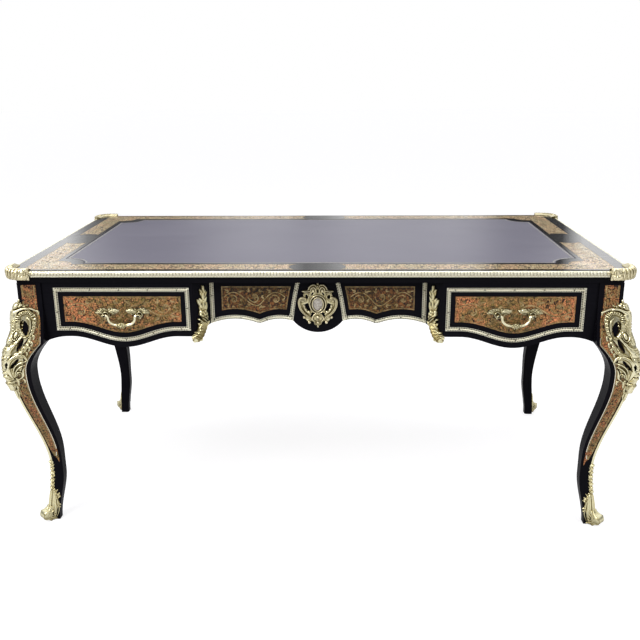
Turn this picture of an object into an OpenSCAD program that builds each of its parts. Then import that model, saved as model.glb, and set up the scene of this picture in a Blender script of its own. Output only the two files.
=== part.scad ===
// Writing table on four cabriole legs with three frieze drawers, brass marquetry and gilt bronze mounts.
// Millimetres. X runs along the length, +Y towards the back, Z up from the floor.

/* [Overall] */
// Length over the corner bronzes
desk_w = 1720; // [1680:10:1840]
// Depth over the corner bronzes
desk_d = 920; // [860:10:980]
// Height to the crest of the corner bronzes
desk_h = 790; // [760:5:820]

/* [Top] */
// Height of the corner bronzes above the writing surface
corner_rise = 7; // [4:1:9]
// Height of the veneered slab
slab_t = 17; // [14:1:24]
// Height of the cove moulding under the slab
cove_h = 21; // [16:1:26]
// How far the cove recedes from the slab edge to the frieze
cove_in = 10; // [6:1:14]
// Projection of the corner bronzes past the edge moulding
corner_proud = 10; // [6:1:14]
// Width of the bronze edge moulding, seen from above
edge_w = 9; // [7:1:12]
// Radius of the slab corners under the corner bronzes
slab_r = 30; // [24:1:40]
// Ebony margin outside the marquetry on the long sides
margin_long = 12; // [8:1:16]
// Ebony margin outside the marquetry on the short sides
margin_short = 34; // [24:1:44]
// Width of the marquetry border
border_w = 60; // [45:1:70]
// Ebony line between marquetry and leather
line_w = 13; // [10:1:18]
// Half length of the ebony gap at the middle of each side
border_gap = 60; // [40:2:90]
// Reach of the leather's corner notch along the long side
notch_x = 70; // [55:1:85]
// Reach of the leather's corner notch along the short side
notch_y = 60; // [45:1:70]
// Thickness of the leather
leather_t = 1.6; // [1.2:0.2:2.4]
// Thickness of the marquetry sheets
inlay_t = 1.2; // [0.8:0.1:1.6]

/* [Legs] */
// Setback of the leg blocks from the overall size
leg_setback = 30; // [26:1:36]
// Width of the square block at the top of each leg
leg_size = 66; // [60:1:72]
// Depth below the frieze top where the outer edge starts to swell
swell_drop = 46; // [30:2:70]
// Depth of the knee below the frieze top
knee_drop = 241; // [220:1:260]
// How far the knee stands outside the block
knee_out = 34; // [24:1:40]
// Depth of the inner knee below the frieze top
heel_drop = 254; // [245:1:275]
// Inner edge of the knee, measured in from the block's outer corner
knee_heel = 24; // [18:1:30]
// Height of the ankle above the floor
ankle_z = 165; // [140:5:190]
// How far the ankle stands inside the block's outer corner
ankle_in = 28; // [20:1:34]
// Thickness of the ankle
ankle_t = 33; // [30:1:38]
// Inset of the foot's outer corner
foot_in = 13; // [8:1:16]
// Thickness of the foot
foot_t = 28; // [26:1:34]

/* [Frieze] */
// Half length of the recessed centre section
centre_half = 304; // [290:2:320]
// Width of the post beside the centre section
post_w = 49; // [44:1:54]
// How far the centre section is recessed behind the side drawers
recess = 40; // [30:1:50]
// Setback of the frieze face behind the leg blocks
face_in = 5; // [3:1:8]
// Width of the stile beside each leg
stile_w = 33; // [26:1:40]
// Thickness of rails, aprons and drawer fronts
board_t = 22; // [18:1:26]
// Height of the rail above the side drawers
rail_top = 15; // [12:1:18]
// Height of a side drawer front at its ends
front_h = 123; // [114:1:132]
// Drop of the serpentine belly
belly = 32; // [24:1:38]
// Half length of the serpentine belly
belly_half = 148; // [130:2:150]
// Height of the rail below the side drawers
rail_low = 18; // [15:1:22]
// Dip of the lower rail where it meets the leg
leg_dip = 14; // [8:1:18]
// Thickness of the long partitions
partition_t = 25; // [20:1:28]
// Height of the centre drawer front at the crests of its arches
centre_h = 113.5; // [106:0.5:120]
// Rise of the arches along the centre drawer
arch_rise = 14; // [10:1:18]
// Half width of the medallion where it leaves the border
medal_half = 70; // [64:1:76]
// Depth of the medallion below the arch crests
medal_drop = 40; // [34:1:46]
// Thickness of the tenons on rails and aprons
tenon_t = 8; // [6:1:10]
// Length of the tenons
tenon_len = 28; // [20:1:32]

/* [Drawers] */
// Running gap round a drawer
gap = 1; // [0.6:0.1:1.5]
// Length of a drawer box behind its front
box_len = 560; // [480:10:620]
// Thickness of the drawer sides and back
side_t = 12; // [10:1:14]
// Thickness of the drawer bottoms
bottom_t = 6; // [5:0.5:8]
// Depth of the grooves that hold the bottoms
groove = 5; // [3:0.5:7]
// Height of a side drawer box
box_h = 97; // [88:1:102]
// Height of the centre drawer box
centre_box_h = 82; // [74:1:88]
// Thickness of the runners under the drawers
runner_t = 15; // [12:1:20]
// Height of the guides beside the drawers
guide_h = 14; // [10:1:20]
// Depth of the lapped dovetails in the drawer fronts
lap = 14; // [10:1:16]

/* [Bronzes] */
// Width of the bronze frames
frame_w = 11; // [9:1:14]
// Thickness of the bronze frames
frame_t = 4; // [3:0.5:5]
// Ebony band between a frame and its marquetry
band_w = 14; // [10:1:18]
// Spacing of the handle posts
post_gap = 96; // [84:1:108]
// Stand-off of the handle pivot from the drawer face
stand_off = 18; // [15:1:22]
// Radius of the bail's pivot pins
pin_r = 2.1; // [1.8:0.1:2.6]
// Drop of the bail below its pivot
bail_drop = 27; // [22:1:34]
// Radius of the bail's rod
bail_r = 3.8; // [2.8:0.2:4.2]
// Thickness of the knee bronzes
knee_t = 6; // [4:1:8]
// How far the knee bronzes stand out along the edge of the leg
knee_ridge = 12; // [9:1:15]
// Height of the sabots
sabot_h = 96; // [90:2:120]
// Height of the husk chain above the sabots
husk_h = 96; // [80:2:110]
// Radius of the scrolled toe
toe_r = 14; // [11:1:16]
// Length of the scrolled toe
toe_len = 25; // [20:1:30]
// Reach of the corner bronzes along the edge moulding
corner_arm = 26; // [20:1:40]

/* [Hidden] */
seat = 0.1;
running = 0.3;
pin_clear = 0.25;
shown = 0.3;
bite_in = 1;
cove_set = 2;

surface_z = desk_h - corner_rise;
slab_z = surface_z - slab_t;
frieze_z = slab_z - cove_h;
slab_x = desk_w / 2 - corner_proud - edge_w;
slab_y = desk_d / 2 - corner_proud - edge_w;
leg_x = desk_w / 2 - leg_setback;
leg_y = desk_d / 2 - leg_setback;
inner_x = leg_x - leg_size;
inner_y = leg_y - leg_size;
face_y = leg_y - face_in;
face_x = leg_x - face_in;
centre_y = face_y - recess;

side_x0 = centre_half + post_w + gap;
side_x1 = inner_x - stile_w;
side_c = (side_x0 + side_x1) / 2;
side_top = frieze_z - rail_top;
side_z = side_top - front_h;
rail_z = side_z - rail_low;
centre_top = frieze_z - 2 * gap;
crest_z = centre_top - centre_h;
medal_z = crest_z - medal_drop;
cusp_x = 0.54 * centre_half;
medal_top_half = 0.69 * medal_half;
box_z = side_z + rail_low - gap;
centre_box_z = box_z + runner_t;
knee_z = frieze_z - knee_drop;
swell_z = frieze_z - swell_drop;
heel_z = frieze_z - heel_drop;
handle_z = side_z + 0.38 * front_h;

ebony = "#16161a";
bronze = "#c9ac5a";
boulle = "#a5683a";
oak = "#a17c4e";
hide = "#4a4048";

// Rounds off a closed outline by cutting its corners twice
function cut_corners(p) = [for (i = [0:len(p) - 1]) each let (q = p[(i + 1) % len(p)])
    [0.78 * p[i] + 0.22 * q, 0.22 * p[i] + 0.78 * q]];
function soften(p) = cut_corners(cut_corners(p));

// General helpers

function ease(t) = t <= 0 ? 0 : t >= 1 ? 1 : t * t * (3 - 2 * t);
function steps(a, b, n) = [for (i = [0:n]) a + (b - a) * i / n];
function flip(points) = [for (i = [len(points) - 1:-1:0]) points[i]];
function arc(c, rx, ry, a0, a1, n) = [for (a = steps(a0, a1, n)) [c.x + rx * cos(a), c.y + ry * sin(a)]];

// Extrudes an outline drawn in X and Z from the plane y towards the front.
module to_front(y, t) {
    translate([0, y, 0]) rotate([90, 0, 0]) linear_extrude(t) children();
}

// Extrudes an outline drawn in Y and Z from the plane x outwards to the right.
module to_right(x, t) {
    translate([x, 0, 0]) rotate([90, 0, 90]) linear_extrude(t) children();
}

// Joins closed rings of points, listed from the bottom up and anticlockwise from above, into one solid.
module loft(rings) {
    n = len(rings[0]);
    m = len(rings);
    polyhedron(
        points = [for (ring = rings) for (p = ring) p],
        faces = concat(
            [[for (j = [0:n - 1]) j]],
            [[for (j = [n - 1:-1:0]) (m - 1) * n + j]],
            [for (i = [0:m - 2]) for (j = [0:n - 1])
                [i * n + j, (i + 1) * n + j, (i + 1) * n + (j + 1) % n]],
            [for (i = [0:m - 2]) for (j = [0:n - 1])
                [i * n + j, (i + 1) * n + (j + 1) % n, i * n + (j + 1) % n]]
        )
    );
}

// Places a piece modelled at the back right corner at any of the four.
module at_corner(sx, sy) {
    mirror([sx < 0 ? 1 : 0, 0, 0]) mirror([0, sy < 0 ? 1 : 0, 0]) children();
}

module at_side(sx) {
    mirror([sx < 0 ? 1 : 0, 0, 0]) children();
}

module at_back() {
    mirror([0, 1, 0]) children();
}

// Leg curves: how far the outer and inner corners stand outside the block's outer corner at a height

function arris(z) =
    z >= knee_z ? knee_out * (1 - ease((z - knee_z) / (swell_z - knee_z)))
    : z >= ankle_z ? -ankle_in + (knee_out + ankle_in) * ease((z - ankle_z) / (knee_z - ankle_z))
    : -ankle_in + (ankle_in - foot_in) * ease(1 - z / ankle_z);

heel_low = 0.9 * ankle_z;
heel_high = 1.3 * ankle_z;
ankle_heel = ankle_in + ankle_t;
foot_heel = foot_in + foot_t;

// Foot of the square block, where the boards beside the leg end
block_z = rail_z - leg_dip;

function heel(z) =
    z >= block_z ? -leg_size
    : z >= heel_z ? -knee_heel - (leg_size - knee_heel) * pow((z - heel_z) / (block_z - heel_z), 2)
    : z >= heel_high ? -ankle_heel + (ankle_heel - knee_heel) * ease((z - heel_high) / (heel_z - 12 - heel_high))
    : z >= heel_low ? -ankle_heel
    : -ankle_heel + (ankle_heel - foot_heel) * ease(1 - z / heel_low);

function corner(z, out) = [leg_x + arris(z) + out, leg_y + arris(z) + out];
function leg_width(z) = arris(z) - heel(z);

husk_top = sabot_h + husk_h;
mount_top = frieze_z - 56;
mount_low = knee_z - 64;
inlay_low = husk_top - 12;

// Heights at which every piece on a leg has a ring, so that their faces meet
leg_rings = concat(
    steps(0, sabot_h, 12),
    steps(sabot_h + husk_h / 15, husk_top, 14),
    steps(husk_top + 22, mount_low, 9),
    steps(mount_low + 9, block_z, 14),
    steps(block_z + 10, mount_top, 11),
    [frieze_z - 28, frieze_z]
);
function rings_between(low, high) = [for (z = leg_rings) if (z >= low - 0.01 && z <= high + 0.01) z];

heel_cut = 5;

tenon_low = side_z + 14;
tenon_top = side_top - 12;

// Tenon of a board along X that ends at the leg's inner face, its middle at the height y
module tenon_x(y, grow) {
    translate([inner_x - bite_in, y - tenon_t / 2 - grow, tenon_low - grow])
        cube([tenon_len + bite_in + grow, tenon_t + 2 * grow, tenon_top - tenon_low + 2 * grow]);
}

module tenon_y(x, grow) {
    translate([x - tenon_t / 2 - grow, inner_y - bite_in, tenon_low - grow])
        cube([tenon_t + 2 * grow, tenon_len + bite_in + grow, tenon_top - tenon_low + 2 * grow]);
}

board_mid_x = face_x - board_t / 2;
board_mid_y = face_y - board_t / 2;

module leg() {
    color(ebony)
    difference() {
        loft([for (z = leg_rings) let (a = corner(z, 0), h = [leg_x + heel(z), leg_y + heel(z)])
            [[h.x + heel_cut, h.y, z], [a.x, h.y, z], [a.x, a.y, z], [h.x, a.y, z], [h.x, h.y + heel_cut, z]]]);
        tenon_x(board_mid_y, seat);
        tenon_y(board_mid_x, seat);
    }
}

// A bronze that wraps the outer edge of the leg. Each row is height, reach along the faces, thickness,
// projection of its ridge and the ridge's width; off is the gap between bronze and leg.
module arris_shell(rows, off) {
    loft([for (r = rows) let (z = r[0], reach = r[1], t = r[2], ridge = r[3], nose = r[4], c = corner(z, off))
        [[c.x, c.y - reach, z], [c.x + 0.6 * t, c.y - 0.97 * reach, z], [c.x + 1.1 * t, c.y - 0.55 * reach, z],
         [c.x + ridge, c.y + ridge - nose, z], [c.x + ridge - nose, c.y + ridge, z],
         [c.x - 0.55 * reach, c.y + 1.1 * t, z], [c.x - 0.97 * reach, c.y + 0.6 * t, z],
         [c.x - reach, c.y, z], [c.x, c.y, z]]]);
}

// Height of a round lobe at t, where lobe is its middle, half length and height
function lobe(t, l) = abs(t - l[0]) >= l[1] ? 0 : l[2] * sqrt(1 - pow((t - l[0]) / l[1], 2));
function lobes(t, list) = max([for (l = list) lobe(t, l)]);

// The knee bronze as shares of its height: two C scrolls, the neck between them and an acanthus tail
knee_outline = [[0.76, 0.245, 0.70], [0.32, 0.17, 0.68], [0.45, 0.16, 0.49], [0.12, 0.13, 0.18]];
knee_crest = [[0.86, 0.15, 0.85], [0.33, 0.34, 1.1], [0.6, 0.3, 0.35], [0.05, 0.1, 0.6]];
// Middle, distance from the edge and tilt of each opening in a knee bronze, with its width and height
knee_holes = [[0.723, 0.37, -17, 22, 46], [0.54, 0.29, 27, 12, 42], [0.33, 0.28, 42, 10, 36]];

module knee_hole(x, z, h) {
    translate([x, z]) rotate(h[2]) polygon(arc([0, 0], h[3] / 2, h[4] / 2, 0, 345, 23));
}

module knee_mount() {
    span = mount_top - mount_low;
    off = inlay_t + 2 * seat;
    deep = 3 * knee_ridge;
    color(bronze)
    difference() {
        arris_shell([for (z = rings_between(mount_low, mount_top)) let (
                t = (z - mount_low) / span,
                reach = max(2.5, leg_width(z) * lobes(t, knee_outline)),
                ridge = 3 + knee_ridge * lobes(t, knee_crest))
            [z, reach, min(knee_t, 1.5 + 0.4 * reach) * (0.85 + 0.15 * cos(1800 * t)), ridge, 0.6 * ridge]], off);
        for (h = knee_holes) let (z = mount_low + h[0] * span, away = h[1] * leg_width(z), c = corner(z, 0)) {
            to_front(c.y + deep, 2 * deep) knee_hole(c.x - away, z, h);
            to_right(c.x - deep, 2 * deep) knee_hole(c.y - away, z, h);
        }
    }
}

// A pointed leaf cut into the side of the sabot, one of three, as a share of the leg's width
spikes = 3;
function spike(z) = let (t = z / sabot_h * spikes) 0.20 * (t - floor(t)) * (t < spikes ? 1 : 0);
// Height up to which the sabot leaves the heel bare
heel_bare = 45;
function sabot_reach(z) = z < 0.84 * sabot_h
    ? leg_width(z) * min(0.72 + spike(z), 0.48 + 0.44 * z / heel_bare)
    : z < sabot_h ? leg_width(z) * (0.34 + 0.3 * (1 - z / sabot_h)) : 3.5 + 4 * husk(z);
// A chain of husks, each widest near its top
husks = 5;
function husk(z) = let (t = (z - sabot_h) / husk_h * husks, f = t - floor(t)) f < 0.7 ? f / 0.7 : (1 - f) / 0.3;
function sabot_t(z) = z < sabot_h ? 3.2 + 1.4 * (1 - z / sabot_h) : 2 + 1.6 * husk(z);

toe_z = 1.5 * toe_r;
toe_x = sqrt(2) * (arris(toe_z) - arris(0)) + toe_r + 0.4;
instep_h = 3.4 * toe_r;

// Section of the toe along the leg's diagonal, from the foot's corner out to the scroll
function toe_section() = concat(
    [for (z = steps(0, instep_h, 4)) [sqrt(2) * (arris(z) - arris(0)) + 0.4, z]],
    [for (a = steps(15, 90, 5)) [toe_x * (1 - cos(a)), instep_h - (instep_h - toe_z - toe_r) * sin(a)]],
    [[toe_x, toe_z - toe_r], [toe_x - 0.6 * toe_r, 0]]
);

// Places a piece drawn in X and Z on the leg's diagonal, with its origin at the foot's corner
module on_diagonal() {
    foot = corner(0, 0);
    translate([foot.x, foot.y, 0]) rotate([0, 0, 45]) rotate([90, 0, 0]) children();
}

module sabot() {
    color(bronze) {
        arris_shell([for (z = rings_between(0, husk_top)) let (t = sabot_t(z))
            [z, sabot_reach(z), t, t, 0.7 * t]], seat);
        on_diagonal() linear_extrude(0.9 * toe_len, center = true) polygon(toe_section());
        on_diagonal() translate([toe_x, toe_z]) cylinder(r = toe_r, h = toe_len, center = true, $fn = 48);
        on_diagonal() translate([toe_x, toe_z]) cylinder(r = 0.45 * toe_r, h = toe_len + 4, center = true, $fn = 32);
    }
}

module arris_fillets() {
    color(bronze)
    for (sx = [-1, 1]) for (sy = [-1, 1]) at_corner(sx, sy)
        arris_shell([for (z = concat([husk_top + running], rings_between(husk_top + 1, mount_low - 1),
            [mount_low - running])) [z, 5, 2, 2, 1.4]], seat);
}

inlay_edge = 0.17;

// Ebony margin between a leg's marquetry and its inner side
function sheet_margin(z) = z > block_z
    ? 8 + 6 * ease((z - mount_top + 50) / 40)
    : min(8 + 4 * ease((block_z - z) / 64), 0.22 * leg_width(z));

// One sheet of marquetry on the back face of a leg, from the block down to a point above the husks
module leg_sheet() {
    inner = frieze_z - 6;
    rows = concat(rings_between(inlay_low, frieze_z - 28), [inner]);
    loft([for (z = rows) let (
            c = corner(z, 0),
            w = leg_width(z),
            point = 1 - ease((z - inlay_low) / 60),
            far = w - sheet_margin(z),
            edge = max(w * inlay_edge, 8),
            near = edge + point * (far - edge - 1.5))
        [[c.x - near, c.y + seat, z], [c.x - near, c.y + seat + inlay_t, z],
         [c.x - far, c.y + seat + inlay_t, z], [c.x - far, c.y + seat, z]]]);
}

module leg_inlays() {
    color(boulle)
    for (sx = [-1, 1]) for (sy = [-1, 1]) at_corner(sx, sy) {
        leg_sheet();
        translate([leg_x - leg_y, leg_y - leg_x, 0]) mirror([1, -1, 0]) leg_sheet();
    }
}

// Top

// Section of the top, from the slab's edge to the frieze, about the middle of a side of half width w
function top_section(w) = concat(
    [[-w, surface_z], [-w, slab_z]],
    [for (t = steps(0, 1, 5)) [-w + cove_in * sin(90 * t), slab_z - cove_h * (1 - cos(90 * t))]],
    [for (t = steps(1, 0, 5)) [w - cove_in * sin(90 * t), slab_z - cove_h * (1 - cos(90 * t))]],
    [[w, slab_z], [w, surface_z]]
);

module rounded(w, d, r, h) {
    linear_extrude(h) union() {
        square([2 * w - 2 * r, 2 * d], center = true);
        square([2 * w, 2 * d - 2 * r], center = true);
        for (sx = [-1, 1]) for (sy = [-1, 1]) translate([sx * (w - r), sy * (d - r)]) circle(r, $fn = 48);
    }
}

border_out_x = slab_x - margin_short;
border_out_y = slab_y - margin_long;
border_in_x = border_out_x - border_w;
border_in_y = border_out_y - border_w;
leather_x = border_in_x - line_w;
leather_y = border_in_y - line_w;

// A quarter of the leather's edge: a rectangle whose corner is cut by a hollow curve
function field(x, y, nx, ny) = [for (q = [0:3]) let (sx = q == 0 || q == 3 ? 1 : -1, sy = q < 2 ? 1 : -1,
    pts = arc([x, y], nx, ny, 270, 180, 10)) for (p = (q % 2 == 0 ? pts : flip(pts))) [sx * p.x, sy * p.y]];

module leather_shape(grow) {
    polygon(field(leather_x + grow, leather_y + grow, notch_x, notch_y));
}

// One corner of the marquetry border: it fills the leather's notch and ends in a hollow curve at each gap
module border_shape(grow) {
    nx = notch_x - 4 - line_w;
    ny = notch_y - 4 - line_w;
    bite = 0.3 * border_w;
    mid_x = border_out_x - border_w / 2;
    mid_y = border_out_y - border_w / 2;
    half = border_w / 2 + grow;
    polygon(concat(
        [[border_out_x + grow, border_out_y + grow]],
        [for (a = steps(0, 180, 8)) [border_gap - grow + bite * sin(a), mid_y + half * cos(a)]],
        arc([border_in_x, border_in_y], nx, ny, 180, 270, 8),
        [for (a = steps(180, 0, 8)) [mid_x + half * cos(a), border_gap - grow + bite * sin(a)]]
    ));
}

module top_panel() {
    color(ebony)
    difference() {
        union() {
            translate([0, 0, slab_z]) rounded(slab_x, slab_y, slab_r, slab_t);
            intersection() {
                translate([0, slab_y, 0]) rotate([90, 0, 0]) linear_extrude(2 * slab_y)
                    intersection() {
                        polygon(top_section(slab_x - cove_set));
                        translate([-slab_x, frieze_z]) square([2 * slab_x, cove_h + bite_in]);
                    }
                translate([-slab_x, 0, 0]) rotate([90, 0, 90]) linear_extrude(2 * slab_x)
                    polygon(top_section(slab_y - cove_set));
            }
        }
        translate([0, 0, surface_z - leather_t - shown]) linear_extrude(leather_t + 1) leather_shape(seat);
        for (sx = [-1, 1]) for (sy = [-1, 1]) at_corner(sx, sy)
            translate([0, 0, surface_z - inlay_t]) linear_extrude(inlay_t + 1) border_shape(seat);
    }
}

module leather_panel() {
    color(hide)
    translate([0, 0, surface_z - leather_t - shown]) linear_extrude(leather_t) leather_shape(0);
}

module top_inlays() {
    color(boulle)
    for (sx = [-1, 1]) for (sy = [-1, 1]) at_corner(sx, sy)
        translate([0, 0, surface_z - inlay_t]) linear_extrude(inlay_t) border_shape(0);
}

// Section of the edge moulding, a bead over a hollow, which starts a little under the surface; the slab's
// edge is at 0
band_z = surface_z - 1.5;
moulding = concat(
    [[0, band_z], [0.35 * edge_w, band_z]],
    arc([0.35 * edge_w, band_z - 0.35 * slab_t], 0.65 * edge_w, 0.35 * slab_t, 80, -60, 7),
    arc([0.9 * edge_w, slab_z - 1 + 0.05 * slab_t], 0.35 * edge_w, 0.22 * slab_t, 150, 200, 3),
    [[0.3 * edge_w, slab_z - 1.5], [0, slab_z - 1.5]]
);

// Distance from the slab's end to the end of a moulding, inside the arm of the corner bronze
mitre = slab_r + corner_arm + running;

module edge_mouldings() {
    color(bronze) {
        for (sy = [-1, 1]) mirror([0, sy < 0 ? 1 : 0, 0]) translate([-slab_x + mitre, slab_y + seat, 0])
            rotate([90, 0, 90]) linear_extrude(2 * (slab_x - mitre)) polygon(moulding);
        for (sx = [-1, 1]) at_side(sx) translate([slab_x + seat, slab_y - mitre, 0])
            rotate([90, 0, 0]) linear_extrude(2 * (slab_y - mitre)) polygon(moulding);
    }
}

shell_out = edge_w + corner_proud;
shell_low = 12;

// Section of a corner bronze, measured out from the centre of the slab's rounded corner
function shell_section() = concat(
    [[slab_r + seat, surface_z + seat], [slab_r - 9, surface_z + seat], [slab_r - 8, surface_z + 2]],
    arc([slab_r + shell_out - 12, surface_z + corner_rise - 12], 12, 12, 95, 0, 5),
    arc([slab_r + shell_out - 14, slab_z + 2], 14, shell_low, 0, -90, 5),
    [[slab_r + seat, slab_z + 2 - shell_low]]
);

// An arm of a corner bronze along the long side: its section runs straight and its plan narrows to a tip
module corner_arm_x() {
    c_x = slab_x - slab_r;
    c_y = slab_y - slab_r;
    tip = slab_y + edge_w + 0.4;
    intersection() {
        translate([c_x - corner_arm, c_y, 0]) rotate([90, 0, 90]) linear_extrude(corner_arm) polygon(shell_section());
        translate([0, 0, frieze_z]) linear_extrude(desk_h - frieze_z + 1) polygon(concat(
            [[c_x - corner_arm - 1, c_y], [c_x + 1, c_y], [c_x + 1, slab_y + shell_out + 1]],
            [for (a = steps(0, 90, 6)) [c_x - corner_arm * a / 90, tip + (corner_proud + 0.5) * pow(cos(a), 0.7)]],
            [[c_x - corner_arm - 1, tip]]
        ));
    }
}

module top_corner() {
    c = [slab_x - slab_r, slab_y - slab_r];
    pearl = 8;
    color(bronze)
    difference() {
        union() {
            translate([c.x, c.y, 0]) rotate_extrude(angle = 90, $fn = 64) polygon(shell_section());
            for (a = [15, 45, 75]) let (r = slab_r + shell_out - pearl + 1)
                translate([c.x + r * cos(a), c.y + r * sin(a), surface_z - pearl]) sphere(r = pearl, $fn = 32);
            corner_arm_x();
            translate([slab_x - slab_y, slab_y - slab_x, 0]) mirror([1, -1, 0]) corner_arm_x();
        }
        translate([0, 0, frieze_z])
            cube([slab_x - cove_set + seat, slab_y - cove_set + seat, slab_z - frieze_z + bite_in + seat]);
    }
}

// Frieze curves

function wave(d) = abs(d) >= belly_half ? 0 : (1 + cos(180 * d / belly_half)) / 2;
function wave_slope(d) = abs(d) >= belly_half ? 0 : -90 * PI / 180 * sin(180 * d / belly_half) / belly_half;

// Lower edge of a serpentine panel centred on c, moved up square to itself by inset
function belly_edge(x0, x1, c, z, inset) = [for (x = steps(x0 + inset, x1 - inset, 36))
    let (s = -belly * wave_slope(x - c), k = inset / sqrt(1 + s * s)) [x - s * k, z - belly * wave(x - c) + k]];

function panel_outline(x0, x1, c, inset) =
    concat([[x0 + inset, side_top - inset]], belly_edge(x0, x1, c, side_z, inset), [[x1 - inset, side_top - inset]]);

// Lower edge of the rail between a start and the leg, with a dip at the leg
function rail_edge(x0, x1, c) = [for (x = steps(x0, x1, 40))
    [x, rail_z - belly * wave(x - c) - leg_dip * pow(max(0, (x - x1 + 64) / 64), 2)]];

// Lower edge of the centre section at a distance x from its middle
function arch(x) = x > cusp_x
    ? crest_z - arch_rise * pow((x - (centre_half + cusp_x) / 2) / ((centre_half - cusp_x) / 2), 2)
    : crest_z - arch_rise * pow((x - (cusp_x - 57)) / 57, 2);
function medal_side(z) = let (t = (z - arch(medal_half)) / (centre_top - arch(medal_half)))
    medal_half - (medal_half - medal_top_half) * (0.6 * t + 0.4 * t * t);
medal_edge = arch(medal_half);
medal_sag = medal_edge - medal_z;
medal_r = (medal_half * medal_half + medal_sag * medal_sag) / (2 * medal_sag);
medal_turn = asin(medal_half / medal_r);

function centre_edge(x0, x1, n, up) = [for (x = steps(x0, x1, n)) [x, arch(x) + up]];
function centre_outline() = concat(
    [[centre_half - gap, centre_top]],
    [[-centre_half + gap, centre_top]],
    [for (p = centre_edge(centre_half - gap, medal_half, 28, 0)) [-p.x, p.y]],
    arc([0, medal_z + medal_r], medal_r, medal_r, 270 - medal_turn, 270 + medal_turn, 16),
    flip(centre_edge(centre_half - gap, medal_half, 28, 0))
);

module panel_ring(x0, x1, c) {
    difference() {
        polygon(panel_outline(x0, x1, c, 0));
        polygon(panel_outline(x0, x1, c, frame_w));
    }
}

module panel_bead(x0, x1, c) {
    difference() {
        polygon(panel_outline(x0, x1, c, 0.3 * frame_w));
        polygon(panel_outline(x0, x1, c, 0.7 * frame_w));
    }
}

// A bronze frame standing on the plane y: a flat with a raised bead along its middle
module panel_frame(y, x0, x1, c) {
    to_front(y, 0.6 * frame_t) panel_ring(x0, x1, c);
    to_front(y, frame_t) panel_bead(x0, x1, c);
}

inlay_inset = frame_w + band_w;

module side_front() {
    color(ebony)
    difference() {
        to_front(-face_y + board_t, board_t) polygon(panel_outline(side_x0, side_x1, side_c, 0));
        to_front(-face_y + inlay_t - shown, inlay_t)
            polygon(panel_outline(side_x0, side_x1, side_c, inlay_inset - seat));
        bottom_groove(side_x0, side_x1, -face_y + board_t, box_z);
        sockets(side_x0, side_x1, -face_y + board_t, box_z, box_h);
    }
}

module side_frame() {
    color(bronze) panel_frame(-face_y, side_x0, side_x1, side_c);
}

module side_inlay() {
    color(boulle) to_front(-face_y + inlay_t - shown, inlay_t)
        polygon(panel_outline(side_x0, side_x1, side_c, inlay_inset));
}

// Drawer boxes

bottom_up = 5;

module bottom_groove(x0, x1, y, z) {
    translate([x0 + side_t - groove - seat, y - groove - seat, z + bottom_up - seat])
        cube([x1 - x0 - 2 * side_t + 2 * groove + 2 * seat, 2 * groove, bottom_t + 2 * seat]);
}

tail_h = 14;
tail_flare = 3;

// Dovetails on the end of a drawer side, narrow at the plane y and flaring over the length run, with roots
// that reach back into the side
module tails(y, run, z, h, grow) {
    low = z + bottom_up + bottom_t + 3;
    tall = h - bottom_up - bottom_t - 8;
    n = floor(tall / (2 * tail_h));
    for (i = [0:n - 1]) let (m = low + (i + 0.5) * tall / n, root = tail_h / 2 - tail_flare + grow, tip = tail_h / 2 + grow)
        polygon([[y - sign(run) * bite_in, m - root], [y - sign(run) * bite_in, m + root], [y, m + root],
            [y + run, m + tip], [y + run, m - tip], [y, m - root]]);
}

// A drawer side between the front's back face at y and the outer face of the back
module box_side(x, y, z, h) {
    to_right(x, side_t) {
        translate([y, z]) square([box_len - side_t + seat, h]);
        tails(y, -lap, z, h, 0);
        tails(y + box_len - side_t, side_t, z, h, 0);
    }
}

// Sockets in a drawer front for the lapped dovetails of both sides
module sockets(x0, x1, y, z, h) {
    for (x = [x0 - 1, x1 - side_t - seat])
        to_right(x, side_t + 1 + seat) tails(y, -lap - seat, z, h, seat);
}

// Two sides and a back between x0 and x1, open at the front where the drawer front closes it
module drawer_box(x0, x1, y, z, h) {
    color(oak) {
        difference() {
            union() {
                box_side(x0, y, z, h);
                box_side(x1 - side_t, y, z, h);
            }
            translate([x0 + side_t - groove - seat, y - 1, z + bottom_up - seat])
                cube([x1 - x0 - 2 * side_t + 2 * groove + 2 * seat, box_len + 2, bottom_t + 2 * seat]);
        }
        difference() {
            translate([x0, y + box_len - side_t, z + bottom_up + bottom_t + seat])
                cube([x1 - x0, side_t, h - bottom_up - bottom_t - 4]);
            for (x = [x0 - 1, x1 - side_t - seat])
                to_right(x, side_t + 1 + seat) tails(y + box_len - side_t - seat, side_t + 2 * seat, z, h, seat);
        }
    }
}

module drawer_bottom(x0, x1, y, z) {
    color(oak) translate([x0 + side_t - groove, y - groove, z + bottom_up])
        cube([x1 - x0 - 2 * side_t + 2 * groove, box_len + groove, bottom_t]);
}

module side_box() {
    drawer_box(side_x0, side_x1, -face_y + board_t, box_z, box_h);
}

module side_bottom() {
    drawer_bottom(side_x0, side_x1, -face_y + board_t, box_z);
}

centre_box_x = centre_half - gap;

module drawer_front_centre() {
    color(ebony)
    difference() {
        to_front(-centre_y + board_t, board_t) polygon(centre_outline());
        to_front(-centre_y + inlay_t - shown, inlay_t) centre_sheets(seat);
        bottom_groove(-centre_box_x, centre_box_x, -centre_y + board_t, centre_box_z);
        sockets(-centre_box_x, centre_box_x, -centre_y + board_t, centre_box_z, centre_box_h);
    }
}

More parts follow.
